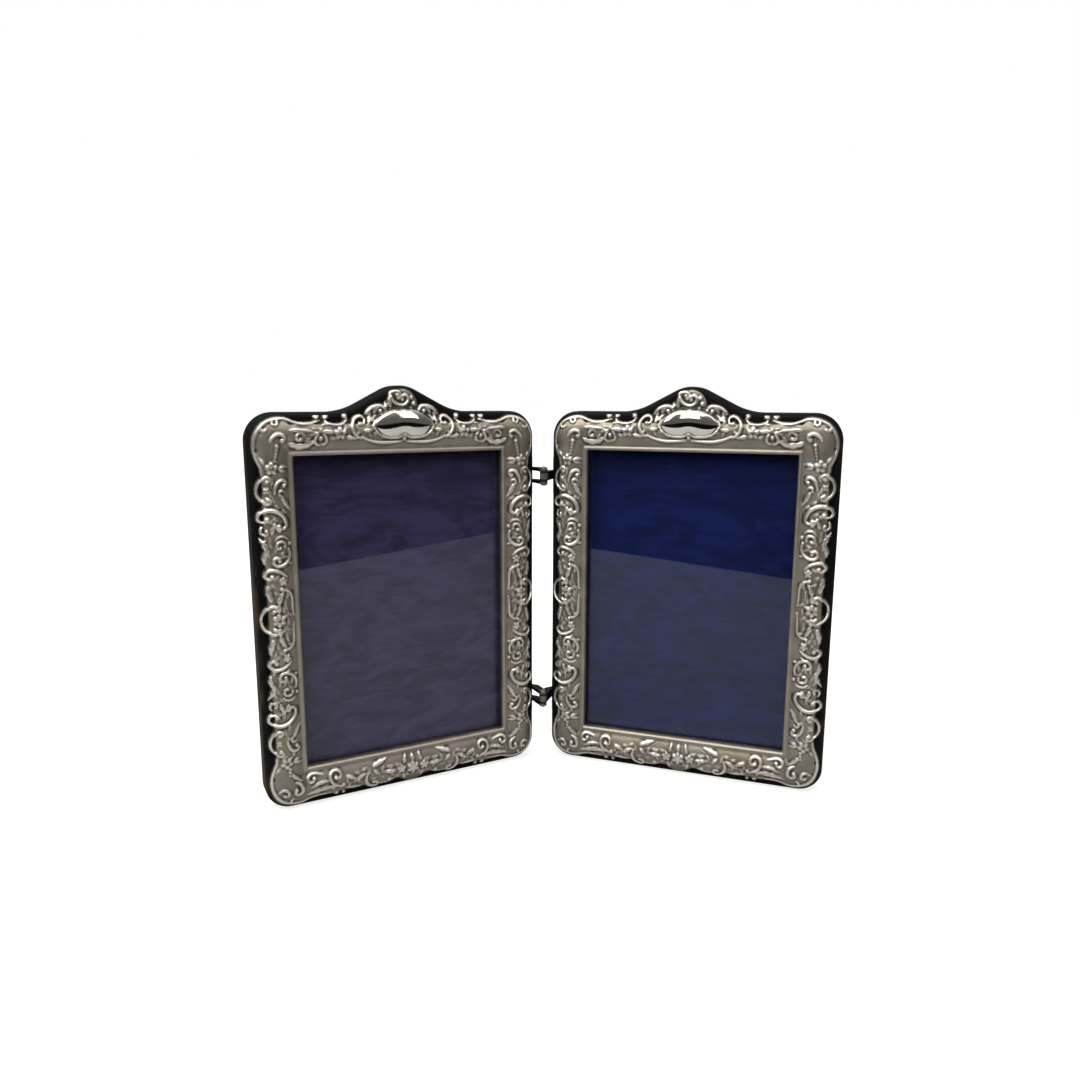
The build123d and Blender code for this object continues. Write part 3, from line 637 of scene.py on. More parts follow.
def round_box(x, z, left, right, foot, top, radius):
    """Distance outside a rectangle with rounded corners."""
    across = np.abs(x - (left + right) / 2) - (right - left) / 2 + radius
    upward = np.abs(z - (foot + top) / 2) - (top - foot) / 2 + radius
    outside = np.hypot(np.maximum(across, 0), np.maximum(upward, 0))
    return outside + np.minimum(np.maximum(across, upward), 0) - radius


def beyond_board(x, z):
    """Distance outside the board's outline with its arched top."""
    body = round_box(x, z, 0, LEAF_WIDTH, 0, SHOULDER, CORNER_RADIUS)
    share = np.clip(np.abs(x - MIDDLE) / HUMP_HALF_WIDTH, 0, 1)
    arch = SHOULDER + (PEAK - SHOULDER) * (1 - ease(share))
    over_arch = np.maximum((z - arch) * HUMP_SLOPE, np.abs(x - MIDDLE) - HUMP_HALF_WIDTH)
    return np.minimum(body, over_arch)


def ground_cover(x, z):
    """Distance outside the plain ground of the silver."""
    cover = round_box(x, z, GROUND_SIDE, LEAF_WIDTH - GROUND_SIDE, GROUND_FOOT, GROUND_TOP, GROUND_CORNER)
    for centre, height, radius in GROUND_PATCHES:
        for side in (centre, LEAF_WIDTH - centre):
            cover = np.minimum(cover, np.hypot(x - side, z - height) - radius)
    return cover


def cartouche_edges(x):
    """Foot and top of the cartouche at sideways places x."""
    share = np.clip(np.abs(x - MIDDLE) / CARTOUCHE_HALF, 0, 1)
    notch = CARTOUCHE_NOTCH * np.exp(-(((x - MIDDLE) / CARTOUCHE_NOTCH_WIDTH) ** 2))
    foot = CARTOUCHE_FOOT + notch + CARTOUCHE_LIFT * share**CARTOUCHE_LIFT_POWER
    drop = 1 - (1 - share**CARTOUCHE_SHOULDER) ** CARTOUCHE_POINT
    return foot, CARTOUCHE_TOP - CARTOUCHE_DROP * drop


def inflate(inside):
    """Dome over a patch of the grid, like a skin blown up from its edge, from 0 to 1."""
    columns, rows = (np.nonzero(inside.any(axis=axis))[0] for axis in (1, 0))
    part = (slice(columns[0] - 1, columns[-1] + 2), slice(rows[0] - 1, rows[-1] + 2))
    patch = inside[part][1:-1, 1:-1]
    skin = np.zeros(inside[part].shape)
    for _ in range(INFLATE_ROUNDS):
        around = skin[:-2, 1:-1] + skin[2:, 1:-1] + skin[1:-1, :-2] + skin[1:-1, 2:]
        skin[1:-1, 1:-1] = np.where(patch, around / 4 + 1, 0)
    dome = np.zeros(inside.shape)
    dome[part] = (skin / skin.max()) ** INFLATE_ROUNDNESS
    return dome


def grid_lines():
    """Columns and rows of a grid that has lines along the sight edge, and its cells in the opening."""
    across, upward = (SIGHT_RIGHT - SIGHT_LEFT) / GRID_ACROSS, (SIGHT_TOP - SIGHT_FOOT) / GRID_UP
    columns, rows = int(SIGHT_LEFT / across), int(SIGHT_FOOT / upward)
    rows_over = int((PEAK - SIGHT_TOP) / upward)
    x = SIGHT_LEFT + across * np.arange(-columns, GRID_ACROSS + columns + 1)
    z = SIGHT_FOOT + upward * np.arange(-rows, GRID_UP + rows_over + 1)
    return x, z, (slice(columns, columns + GRID_ACROSS), slice(rows, rows + GRID_UP))


def plain_section(out, sizes):
    """Height of the silver without ornament at distances out from the sight edge: bead, then cushion."""
    bead_width, bead_top = sizes.bead_width / MM, sizes.bead_top / MM
    foot = np.where(out < bead_width / 2, sizes.bead_foot / MM, COVE_FOOT)
    bead = foot + (bead_top - foot) * np.sin(np.pi * np.clip(out / bead_width, 0, 1))
    inner = out < CUSHION_CREST
    reach = np.where(inner, CUSHION_INNER, CUSHION_OUTER)
    foot = np.where(inner, COVE_FOOT, CUSHION_FOOT)
    swell = sizes.cushion_height / MM - foot
    cushion = foot + swell * np.clip(1 - ((out - CUSHION_CREST) / reach) ** 2, 0, 1)
    return np.where(out < bead_width, bead, cushion)


def silver_field(sizes):
    """Grid places, heights over the board, cover, look and opening of one leaf's silver."""
    x, z, window = grid_lines()
    relief = Relief(x, z)
    for pattern in (side_rail, corners, top_rail, crest, bottom_rail, cartouche_rim, fillers):
        pattern(relief)
    gx, gz = np.meshgrid(x, z, indexing="ij")
    out_x = np.maximum(np.abs(gx - MIDDLE) - (SIGHT_RIGHT - SIGHT_LEFT) / 2, 0)
    out_z = np.maximum(np.abs(gz - SIGHT_MIDDLE) - (SIGHT_TOP - SIGHT_FOOT) / 2, 0)
    out = (out_x**MITRE_POWER + out_z**MITRE_POWER) ** (1 / MITRE_POWER)
    past_bead = out - sizes.bead_width / MM
    on_bead = past_bead < 0
    # Ornament on the plain section
    rise = sizes.relief * relief.rise - LINE_DEPTH * relief.line * (relief.rise <= 0)
    height = soften(plain_section(out, sizes) + rise * ease(past_bead / BEAD_CLEAR), 1)
    # Cartouche
    foot, top = cartouche_edges(gx)
    inside = (gz > foot) & (gz < top) & (np.abs(gx - MIDDLE) < CARTOUCHE_HALF)
    dome = inflate(inside)
    crown = sizes.cartouche_height / MM - CARTOUCHE_EDGE
    height = np.where(inside, CARTOUCHE_EDGE + crown * dome, height)
    height = np.where(on_bead, height, soften(height, 1))
    # Edge of the sheet
    cover = np.minimum(ground_cover(gx, gz), relief.cover)
    cover = np.where(inside, np.minimum(cover, -EDGE_FADE), cover)
    cover = soften(np.maximum(cover, beyond_board(gx, gz) + EDGE_MARGIN), 2)
    height = EDGE_LIFT + (height - EDGE_LIFT) * ease(-cover / EDGE_FADE)
    hollow = (soften(height, CAVITY_BLUR) - height) / CAVITY_DEPTH
    look = {
        "relief": np.clip(relief.rise / RELIEF_FULL, 0, 1) * ~inside,
        "hollows_and_lip_shade": np.clip(hollow, 0, 1) * ease(past_bead),
        "polish": np.where(inside, ease(2 * dome), BEAD_POLISH * on_bead),
    }
    return gx, gz, height, cover, look, window


def covered_cells(cover, window, slack):
    """Grid cells that the silver covers, with cells that would only touch at a corner joined."""
    ends = (cover[:-1, :-1], cover[1:, :-1], cover[:-1, 1:], cover[1:, 1:])
    cells = np.maximum.reduce(ends) < slack
    cells[window] = False
    while True:
        a, b, c, d = cells[:-1, :-1], cells[1:, :-1], cells[:-1, 1:], cells[1:, 1:]
        rising, falling = a & d & ~b & ~c, b & c & ~a & ~d
        if not (rising.any() or falling.any()):
            return cells
        cells[1:, :-1] |= rising
        cells[:-1, :-1] |= falling


def edge_loops(quads):
    """Loops of open edges round a set of quads, each with the faces on its left."""
    edges = np.concatenate([quads[:, (k, (k + 1) % 4)] for k in range(4)])
    known = {tuple(edge) for edge in edges.tolist()}
    following = {a: b for a, b in known if (b, a) not in known}
    loops = []
    while following:
        start, here = following.popitem()
        loop = [start]
        while here != start:
            loop.append(here)
            here = following.pop(here)
        loops.append(np.array(loop))
    return loops


def sight_outward(at, slack):
    """Sideways and upward steps away from the opening for points on the sight edge; None on other edges."""
    steps = []
    for places, low, high in ((at[:, 0], SIGHT_LEFT, SIGHT_RIGHT), (at[:, 2], SIGHT_FOOT, SIGHT_TOP)):
        if ((places < low - slack) | (places > high + slack)).any():
            return None
        steps.append(SHEET * (1.0 * (places > high - slack) - (places < low + slack)))
    return steps


def seat_faces(seats):
    """Triangles that close the shell between its lowest rings of point numbers and places."""
    order = np.concatenate([numbers for numbers, _ in seats])
    places = np.concatenate([ring for _, ring in seats])
    flat = [[Vector((x, z, 0)) for x, _, z in ring.tolist()] for _, ring in seats]
    faces = []
    for triangle in tessellate_polygon(flat):
        a, b, c = places[list(triangle)]
        turn = (b[0] - a[0]) * (c[2] - a[2]) - (b[2] - a[2]) * (c[0] - a[0])
        numbers = order[list(triangle)].tolist()
        faces.append(numbers[::-1] if turn > 0 else numbers)
    return faces


def silver_shell(sizes):
    """Points, faces, number of front faces and look of one leaf's silver as a closed shell."""
    gx, gz, height, cover, look, window = silver_field(sizes)
    pitch = gx[1, 0] - gx[0, 0]
    left, low = np.nonzero(covered_cells(cover, window, SNAP_SHARE * pitch))
    index = np.arange(gx.size).reshape(gx.shape)
    quads = np.stack([index[left + i, low + j] for i, j in ((0, 0), (1, 0), (1, 1), (0, 1))], 1)
    used, quads = np.unique(quads, return_inverse=True)
    quads = quads.reshape(-1, 4)
    slope_x, slope_z = np.gradient(cover, pitch)
    steep = np.maximum(slope_x**2 + slope_z**2, SNAP_SLOPE)
    shift_x, shift_z = (np.clip(cover * s / steep, -pitch, pitch).ravel()[used] for s in (slope_x, slope_z))
    points = np.stack((gx.ravel()[used], -height.ravel()[used], gz.ravel()[used]), 1)
    faces = quads.tolist()
    front = len(faces)
    rings, source = [points], [np.arange(len(points))]
    count = len(points)
    seats, lips = [], []
    for loop in edge_loops(quads):
        outward = sight_outward(points[loop], pitch / 2)
        on_sight = outward is not None
        if on_sight:
            walls = ((0, LIP_END), (1, LIP_END), (1, 0.0))
        else:
            points[loop, 0] -= shift_x[loop]
            points[loop, 2] -= shift_z[loop]
            edge = np.clip(beyond_board(points[loop, 0], points[loop, 2]) + BOARD_ROUND, 0, BOARD_ROUND)
            outward = (0.0, 0.0)
            walls = ((0, BOARD_ROUND - np.sqrt(BOARD_ROUND**2 - edge**2) + SEAT_BITE),)
        upper = loop
        for spread, depth in walls:
            ring = points[loop]
            ring[:, 0] += spread * outward[0]
            ring[:, 1] = depth
            ring[:, 2] += spread * outward[1]
            lower = count + np.arange(len(loop))
            count += len(loop)
            rings.append(ring)
            source.append(loop)
            if on_sight:
                lips.append(lower)
            faces += np.stack((np.roll(upper, -1), upper, lower, np.roll(lower, -1)), 1).tolist()
            upper = lower
        seats.append((upper, ring))
    faces += seat_faces(seats)
    kept = used[np.concatenate(source)]
    look = {name: field.ravel()[kept] for name, field in look.items()}
    # Lip walls round the glass get painted shade: full tarnish colour, with no relief or polish
    for name, value in LIP_SHADE_LOOK.items():
        look[name][np.concatenate(lips)] = value
    return np.concatenate(rings), faces, front, look


def place_mesh(name, points, faces, matrix):
    """New object whose mesh is the given points, moved by matrix into the row's frame."""
    matrix = np.array(matrix)
    mesh = bpy.data.meshes.new(name)
    mesh.from_pydata((points @ matrix[:3, :3].T + matrix[:3, 3]).tolist(), [], faces)
    if mesh.validate():
        raise RuntimeError(f"{name}: the mesh had faults")
    piece = bpy.data.objects.new(name, mesh)
    bpy.context.scene.collection.objects.link(piece)
    return piece


# Finishes


def shade(tint, share):
    """A colour made darker or lighter."""
    return [share * c for c in tint]


class Nodes:
    """A node tree while it is put together."""

    def __init__(self, tree):
        self.tree = tree

    def add(self, kind, sockets=(), **settings):
        """A node with its settings, and its sockets set to values or linked to other sockets."""
        node = self.tree.nodes.new(kind)
        for name, value in settings.items():
            setattr(node, name, value)
        self.set(node, dict(sockets))
        return node

    def get(self, kind, sockets=(), output=0, **settings):
        """One output of a new node."""
        return self.add(kind, sockets, **settings).outputs[output]

    def set(self, node, sockets):
        """Set or link a node's input sockets by name or number."""
        for name, value in sockets.items():
            if isinstance(value, bpy.types.NodeSocket):
                self.tree.links.new(value, node.inputs[name])
            else:
                node.inputs[name].default_value = value

    def math(self, operation, first, second=0.0):
        """One arithmetic step."""
        return self.get("ShaderNodeMath", {0: first, 1: second}, operation=operation)

    def times(self, first, second):
        """Product of two numbers."""
        return self.math("MULTIPLY", first, second)

    def plus(self, first, second):
        """Sum of two numbers."""
        return self.math("ADD", first, second)

    def vector_math(self, operation, sockets, output=0):
        """One arithmetic step on vectors."""
        return self.get("ShaderNodeVectorMath", sockets, output, operation=operation)

    def band(self, value, low, high, to_low=0.0, to_high=1.0):
        """Value mapped smoothly from low..high to to_low..to_high."""
        sockets = {"Value": value, "From Min": low, "From Max": high, "To Min": to_low, "To Max": to_high}
        return self.get("ShaderNodeMapRange", sockets, "Result", interpolation_type="SMOOTHSTEP")


class Finish(Nodes):
    """A material while its nodes are put together."""

    def __init__(self, name):
        self.material = bpy.data.materials.new(name)
        self.material.use_nodes = True
        super().__init__(self.material.node_tree)
        self.shader = self.tree.nodes["Principled BSDF"]
        self.place = self.get("ShaderNodeTexCoord", output="Object")

    def look(self, **sockets):
        """Set the shader's sockets, named with low lines for spaces."""
        self.set(self.shader, {name.replace("_", " "): value for name, value in sockets.items()})

    def noise(self, scale, detail=3.0, place=None, distortion=0.0, roughness=0.5):
        """Cloudy noise from 0 to 1; scale is in patches a metre."""
        sockets = {"Scale": scale, "Detail": detail, "Distortion": distortion, "Roughness": roughness}
        return self.get("ShaderNodeTexNoise", {"Vector": place or self.place, **sockets}, "Fac")

    def turned(self, leaf, scale=(1.0, 1.0, 1.0)):
        """Places in a leaf's own frame, in millimetres times scale."""
        move, turn, _ = LEAVES[leaf].inverted().decompose()
        sockets = {"Location": move, "Rotation": turn.to_euler(), "Scale": (1 / MM,) * 3}
        straight = self.get("ShaderNodeMapping", {"Vector": self.place, **sockets})
        return self.vector_math("MULTIPLY", {0: straight, 1: scale})

    def mix(self, share, first, second):
        """Colour between two, each of them a colour or a socket."""
        pair = [c if isinstance(c, bpy.types.NodeSocket) else (*c, 1.0) for c in (first, second)]
        return self.get("ShaderNodeMix", {0: share, 6: pair[0], 7: pair[1]}, 2, data_type="RGBA")

    def attribute(self, name):
        """A number kept on the piece's points."""
        return self.get("ShaderNodeAttribute", output="Fac", attribute_name=name)

    def bump(self, height, distance, strength=1.0):
        """Tie a fine unevenness to the shader's normal; distance is in millimetres."""
        sockets = {"Height": height, "Distance": distance * MM, "Strength": strength}
        self.look(Normal=self.get("ShaderNodeBump", sockets, "Normal"))


def stamped_silver(colours):
    """Antique silver: dark hollows, matted ground, bright rubbed tops, a polished cartouche, and painted
    shade on the lip walls round the glass.
    """
    finish = Finish("antique_silver")
    relief, hollows_and_lip_shade, polish = (finish.attribute(name) for name in ("relief", "hollows_and_lip_shade", "polish"))
    clouds = finish.noise(140, detail=4)
    rubbed = finish.times(finish.band(relief, 0.25, 0.95), finish.band(clouds, 0.15, 0.6, 0.7, 1.0))
    dull = shade(colours.silver_ground, 0.72)
    tone = finish.mix(finish.band(clouds, 0.3, 0.75), dull, colours.silver_ground)
    tone = finish.mix(rubbed, tone, colours.silver)
    tone = finish.mix(finish.times(polish, 0.85), tone, colours.silver)
    # Real tarnish in the hollows of the relief, and painted shade over the lip walls round the glass
    tone = finish.mix(finish.band(hollows_and_lip_shade, 0.12, 0.85, 0.0, 0.92), tone, colours.silver_tarnish_and_shade)
    bright = finish.math("MAXIMUM", rubbed, polish)
    rough = finish.plus(finish.band(bright, 0.0, 1.0, 0.46, 0.35), finish.band(clouds, 0.3, 0.8, 0.0, 0.08))
    rough = finish.math("SUBTRACT", rough, finish.band(polish, 0.4, 1.0, 0.0, 0.32))
    finish.look(Base_Color=tone, Metallic=1.0, Roughness=rough)
    matting = finish.times(finish.noise(3400, detail=2), finish.band(bright, 0.0, 0.8, 1.0, 0.06))
    finish.bump(matting, 0.06)
    return finish.material


def ebonised_wood(colours, leaf):
    """Black satin lacquer over close grain, rubbed brown along the outer edges."""
    finish = Finish(f"black_lacquer_{leaf}")
    apart = finish.add("ShaderNodeSeparateXYZ", {0: finish.turned(leaf)}).outputs
    across = finish.math("ABSOLUTE", finish.math("SUBTRACT", apart["X"], MIDDLE))
    side = finish.band(across, *(MIDDLE - inset for inset in WEAR_SIDE))
    foot = finish.band(apart["Z"], *WEAR_FOOT)
    patches = finish.band(finish.noise(42, detail=5, roughness=0.62), 0.52, 0.72)
    wear = finish.times(finish.math("MAXIMUM", side, foot), patches)
    grain = finish.noise(1.0, detail=4, place=finish.turned(leaf, (2.6, 2.6, 0.09)), distortion=0.3)
    dark = finish.mix(finish.band(grain, 0.3, 0.7), colours.wood, shade(colours.wood, 2.1))
    tone = finish.mix(finish.times(wear, 0.85), dark, colours.wood_wear)
    smear = finish.band(finish.noise(70, detail=3), 0.3, 0.75, 0.40, 0.54)
    rough = finish.plus(smear, finish.times(wear, 0.25))
    finish.look(Base_Color=tone, Roughness=rough, Specular_IOR_Level=0.06)
    finish.bump(grain, 0.03)
    return finish.material


def clear_glass():
    """Thin window glass that lets light through to the silk."""
    finish = Finish("window_glass")
    finish.look(Base_Color=(0.97, 0.985, 0.98, 1), Roughness=0.0, Transmission_Weight=1.0, IOR=1.55)
    shadow = finish.get("ShaderNodeLightPath", output="Is Shadow Ray")
    clear = finish.get("ShaderNodeBsdfTransparent")
    through = finish.get("ShaderNodeMixShader", {0: shadow, 1: finish.shader.outputs[0], 2: clear})
    finish.set(finish.tree.nodes["Material Output"], {"Surface": through})
    return finish.material


def watered_silk(name, tint, leaf):
    """Ribbed silk with the wavy lights of watered cloth, seen through the glass."""
    finish = Finish(name)
    waves = finish.noise(1.0, detail=2, place=finish.turned(leaf, (0.03, 0.03, 0.06)), distortion=2.6)
    fine = finish.noise(1.0, detail=3, place=finish.turned(leaf, (0.08, 0.08, 0.4)), distortion=1.2)
    lights = finish.plus(finish.times(waves, 0.65), finish.times(fine, 0.35))
    tone = finish.mix(finish.band(lights, 0.36, 0.66), shade(tint, 0.78), shade(tint, 1.48))
    rough = finish.band(lights, 0.3, 0.7, 0.62, 0.46)
    finish.look(Base_Color=tone, Roughness=rough, Specular_IOR_Level=0.12)
    finish.look(Sheen_Weight=0.04, Sheen_Roughness=0.4)
    weave = {"Vector": finish.turned(leaf), "Scale": 0.9, "Distortion": 0.35, "Detail": 1.0}
    ribs = finish.get("ShaderNodeTexWave", weave, "Fac", wave_type="BANDS", bands_direction="Z")
    finish.bump(finish.plus(ribs, lights), 0.03, 0.4)
    return finish.material


def pile_velvet(colours, leaf):
    """Short-piled velvet, brushed unevenly."""
    finish = Finish(f"pile_velvet_{leaf}")
    brushed = finish.noise(1.0, detail=4, place=finish.turned(leaf, (0.05, 0.05, 0.03)), distortion=0.6)
    pile = finish.noise(2600, detail=2)
    dark, light = (shade(colours.velvet, share) for share in (0.7, 1.9))
    tone = finish.mix(finish.band(brushed, 0.35, 0.65), dark, light)
    finish.look(Base_Color=tone, Roughness=finish.band(pile, 0.3, 0.7, 0.82, 0.97))
    finish.look(Sheen_Weight=0.8, Sheen_Roughness=0.35, Sheen_Tint=(0.35, 0.42, 0.85, 1))
    finish.bump(pile, 0.18)
    return finish.material


def grey_card(colours):
    """Pulpy grey card."""
    finish = Finish("pulp_card")
    pulp = finish.noise(900, detail=4)
    tone = finish.mix(finish.band(pulp, 0.3, 0.7), shade(colours.card, 0.8), colours.card)
    finish.look(Base_Color=tone, Roughness=finish.band(pulp, 0.3, 0.7, 0.85, 0.95))
    finish.bump(pulp, 0.05)
    return finish.material


def metal(name, tint, dull, tarnish, rough):
    """Plain metal with cloudy tarnish and fine rubbing marks; rough is its least and its most."""
    finish = Finish(name)
    clouds = finish.noise(260, detail=5, roughness=0.6)
    rubs = finish.noise(1900, detail=2, distortion=0.5)
    tone = finish.mix(finish.band(clouds, 0.42, 0.72, 0.0, tarnish), tint, dull)
    rough = finish.plus(finish.band(clouds, 0.35, 0.75, *rough), finish.times(rubs, 0.06))
    finish.look(Base_Color=tone, Metallic=1.0, Roughness=rough)
    finish.bump(rubs, 0.02)
    return finish


def old_brass(colours):
    """Brass gone brown in patches."""
    dull = shade(colours.brass, 0.45)
    return metal("old_brass", colours.brass, dull, tarnish=0.8, rough=(0.26, 0.42)).material


def silvered_steel(colours):
    """Bright steel of the hinge pins and the brads."""
    dull = shade(colours.bright_steel, 0.5)
    return metal("bright_pin_steel", colours.bright_steel, dull, tarnish=0.6, rough=(0.24, 0.38)).material


def knuckle_gaps():
    """Heights in metres where each tongue's knuckle meets the clevis over and under it."""
    gaps = []
    for hinge in ("upper", "lower"):
        points = node_points(f"{hinge}_tongue", Matrix.Identity(4))
        away = np.hypot(points[:, 0] - HINGE["pos_m"][0], points[:, 1] - HINGE["pos_m"][1])
        knuckle = points[away < KNUCKLE_REACH * MM]
        gaps += [float(knuckle[:, 2].min()), float(knuckle[:, 2].max())]
    return gaps


def dark_steel(colours):
    """Blackened steel, rubbed bright where the knuckles turn on each other, with painted shade that keeps it
    black toward the gaps between knuckles.
    """
    finish = metal("blackened_steel", colours.steel, RUST, tarnish=0.7, rough=(0.36, 0.52))
    from_pin = finish.vector_math("SUBTRACT", {0: finish.place, 1: HINGE["pos_m"]})
    from_pin = finish.vector_math("MULTIPLY", {0: from_pin, 1: (1, 1, 0)})
    away = finish.vector_math("LENGTH", {0: from_pin}, "Value")
    height = finish.get("ShaderNodeSeparateXYZ", {0: finish.place}, "Z")
    clear = FAR
    for gap in knuckle_gaps():
        clear = finish.math("MINIMUM", clear, finish.math("ABSOLUTE", finish.math("SUBTRACT", height, gap)))
    # Bright where rubbed on the knuckles, fading back to black near each gap between them: that fade is
    # painted shade
    knuckle = finish.band(away, *KNUCKLE_RUBBED)
    rubbed = finish.times(knuckle, finish.band(clear, *KNUCKLE_GAP_SHADE))
    black = finish.shader.inputs["Base Color"].links[0].from_socket
    finish.look(Base_Color=finish.mix(rubbed, black, colours.bright_steel))
    return finish.material


def finish_for(name, make, colours):
    """The finish of that name, made the first time it is asked for."""
    return bpy.data.materials.get(name) or make(colours)


def dress(node, material):
    """Give a CAD node a finish."""
    slots = frame["nodes"][node].data.materials
    slots.clear()
    slots.append(material)


# Brads and screws


def fixing_tree(name, slotted):
    """Geometry nodes that set a domed head on a shank at every point of a mesh."""
    tree = bpy.data.node_groups.new(name, "GeometryNodeTree")
    sizes = ("Head Radius", "Head Height", "Shank Radius", "Shank Length", "Slot Width")
    kinds = {"Geometry": "Geometry", **dict.fromkeys(sizes, "Float"), "Turn": "Vector", "Finish": "Material"}
    for socket, kind in kinds.items():
        tree.interface.new_socket(socket, in_out="INPUT", socket_type=f"NodeSocket{kind}")
    tree.interface.new_socket("Geometry", in_out="OUTPUT", socket_type="NodeSocketGeometry")
    nodes = Nodes(tree)
    get = nodes.get
    given = nodes.add("NodeGroupInput").outputs

    def join(*parts):
        """The parts as one geometry."""
        joint = nodes.add("GeometryNodeJoinGeometry")
        for part in parts:
            nodes.set(joint, {0: part})
        return joint.outputs[0]

    # Head of radius 1 and height 1, closed below, then stretched to size
    ball = {"Segments": HEAD_SEGMENTS, "Rings": HEAD_RINGS, "Radius": 1.0}
    height = get("ShaderNodeSeparateXYZ", {0: get("GeometryNodeInputPosition")}, "Z")
    under = get("FunctionNodeCompare", {0: height, 1: -UNIT_WELD}, operation="LESS_THAN")
    dome = get("GeometryNodeDeleteGeometry", {0: get("GeometryNodeMeshUVSphere", ball, "Mesh"), 1: under})
    base = get("GeometryNodeMeshCircle", {"Vertices": HEAD_SEGMENTS, "Radius": 1.0}, fill_type="NGON")
    head = join(get("GeometryNodeFlipFaces", {0: base}), dome)
    head = get("GeometryNodeMergeByDistance", {"Geometry": head, "Distance": UNIT_WELD})
    size = {0: given["Head Radius"], 1: given["Head Radius"], 2: given["Head Height"]}
    head = get("GeometryNodeTransform", {"Geometry": head, "Scale": get("ShaderNodeCombineXYZ", size)})
    if slotted:
        long = nodes.times(given["Head Radius"], SLOT_LENGTH)
        size = {0: long, 1: given["Slot Width"], 2: given["Head Height"]}
        bar = get("GeometryNodeMeshCube", {"Size": get("ShaderNodeCombineXYZ", size)})
        lift = get("ShaderNodeCombineXYZ", {2: given["Head Height"]})
        bar = get("GeometryNodeTransform", {"Geometry": bar, "Translation": lift})
        head = get("GeometryNodeMeshBoolean", {0: head, 1: bar}, operation="DIFFERENCE")
    # Shank under it
    size = {"Vertices": SHANK_SEGMENTS, "Radius": given["Shank Radius"], "Depth": given["Shank Length"]}
    drop = get("ShaderNodeCombineXYZ", {2: nodes.times(given["Shank Length"], -0.5)})
    shank = {"Geometry": get("GeometryNodeMeshCylinder", size), "Translation": drop}
    fixing = join(get("GeometryNodeTransform", shank), head)
    # One at every point
    turn = get("FunctionNodeEulerToRotation", {0: given["Turn"]})
    spread = {"Points": given["Geometry"], "Instance": fixing, "Rotation": turn}
    real = get("GeometryNodeRealizeInstances", {0: get("GeometryNodeInstanceOnPoints", spread)})
    smooth = get("GeometryNodeSetShadeSmooth", {"Geometry": real, "Shade Smooth": not slotted})
    finished = get("GeometryNodeSetMaterial", {"Geometry": smooth, "Material": given["Finish"]})
    nodes.add("NodeGroupOutput", {0: finished})
    return tree


def island_boxes(node, matrix):
    """Lowest and highest corner of each separate solid of a CAD node, in the frame of matrix."""
    mesh = frame["nodes"][node].data
    points = node_points(node, matrix)
    ends = np.unique(np.round(points, 3), axis=0, return_inverse=True)[1].ravel()
    parent = np.arange(ends.max() + 1)

    def root(item):
        """The number that stands for the solid an end belongs to."""
        while parent[item] != item:
            parent[item] = parent[parent[item]]
            item = parent[item]
        return item

    for polygon in mesh.polygons:
        first, *others = (root(ends[vertex]) for vertex in polygon.vertices)
        for other in others:
            parent[root(other)] = root(first)
    roots = np.array([root(item) for item in ends])
    groups = [points[roots == item] for item in np.unique(roots)]
    return [(group.min(axis=0), group.max(axis=0)) for group in groups]


def set_fixings(name, leaf, node, tree, values, facing):
    """Set a fixing on each solid of a leaf's CAD node, with heads to the front (facing 1) or back (-1)."""
    boxes = island_boxes(node, LEAVES[leaf])
    head = values["Head Height"]
    places = []
    for low, high in boxes:
        seat = (low + high) / 2
        seat[1] = low[1] + head / MM if facing > 0 else high[1] - head / MM
        places.append(tuple(LEAVES[leaf] @ Vector(seat)))
    low, high = boxes[0]
    values = {
        **values,
        "Shank Length": float(high[1] - low[1]) * MM - head,
        "Turn": (facing * math.pi / 2, 0.0, SIDES[leaf] * HALF_ANGLE),
    }
    mesh = bpy.data.meshes.new(name)
    mesh.from_pydata(places, [], [])
    piece = bpy.data.objects.new(name, mesh)
    bpy.context.scene.collection.objects.link(piece)
    modifier = piece.modifiers.new("Fixings", "NODES")
    modifier.node_group = tree
    inputs = {item.name: item.identifier for item in tree.interface.items_tree if item.in_out == "INPUT"}
    for key, value in values.items():
        modifier[inputs[key]] = value
    evaluated = piece.evaluated_get(bpy.context.evaluated_depsgraph_get())
    made = bpy.data.meshes.new_from_object(evaluated)
    piece.modifiers.remove(modifier)
    piece.data = made
    if not made.polygons:
        raise RuntimeError(f"{name}: the geometry nodes made nothing")
    return piece


# Stage


def set_camera(settings):
    """Camera at the photograph's place and turn."""
    yaw, pitch, roll = settings.yaw, settings.pitch, settings.roll
    ahead = Vector((math.sin(yaw) * math.cos(pitch), math.cos(yaw) * math.cos(pitch), -math.sin(pitch)))
    level = Vector((math.cos(yaw), -math.sin(yaw), 0))
    right = level * math.cos(roll) + level.cross(ahead) * math.sin(roll)
    turn = Matrix((right, right.cross(ahead), -ahead)).transposed()
    camera = bpy.data.objects.new("camera", bpy.data.cameras.new("camera"))
    camera.data.lens = settings.lens
    camera.data.sensor_width = SENSOR_WIDTH
    camera.data.clip_start = CLIP_START
    camera.matrix_world = Matrix.Translation(settings.camera_place) @ turn.to_4x4()
    bpy.context.scene.collection.objects.link(camera)
    bpy.context.scene.camera = camera


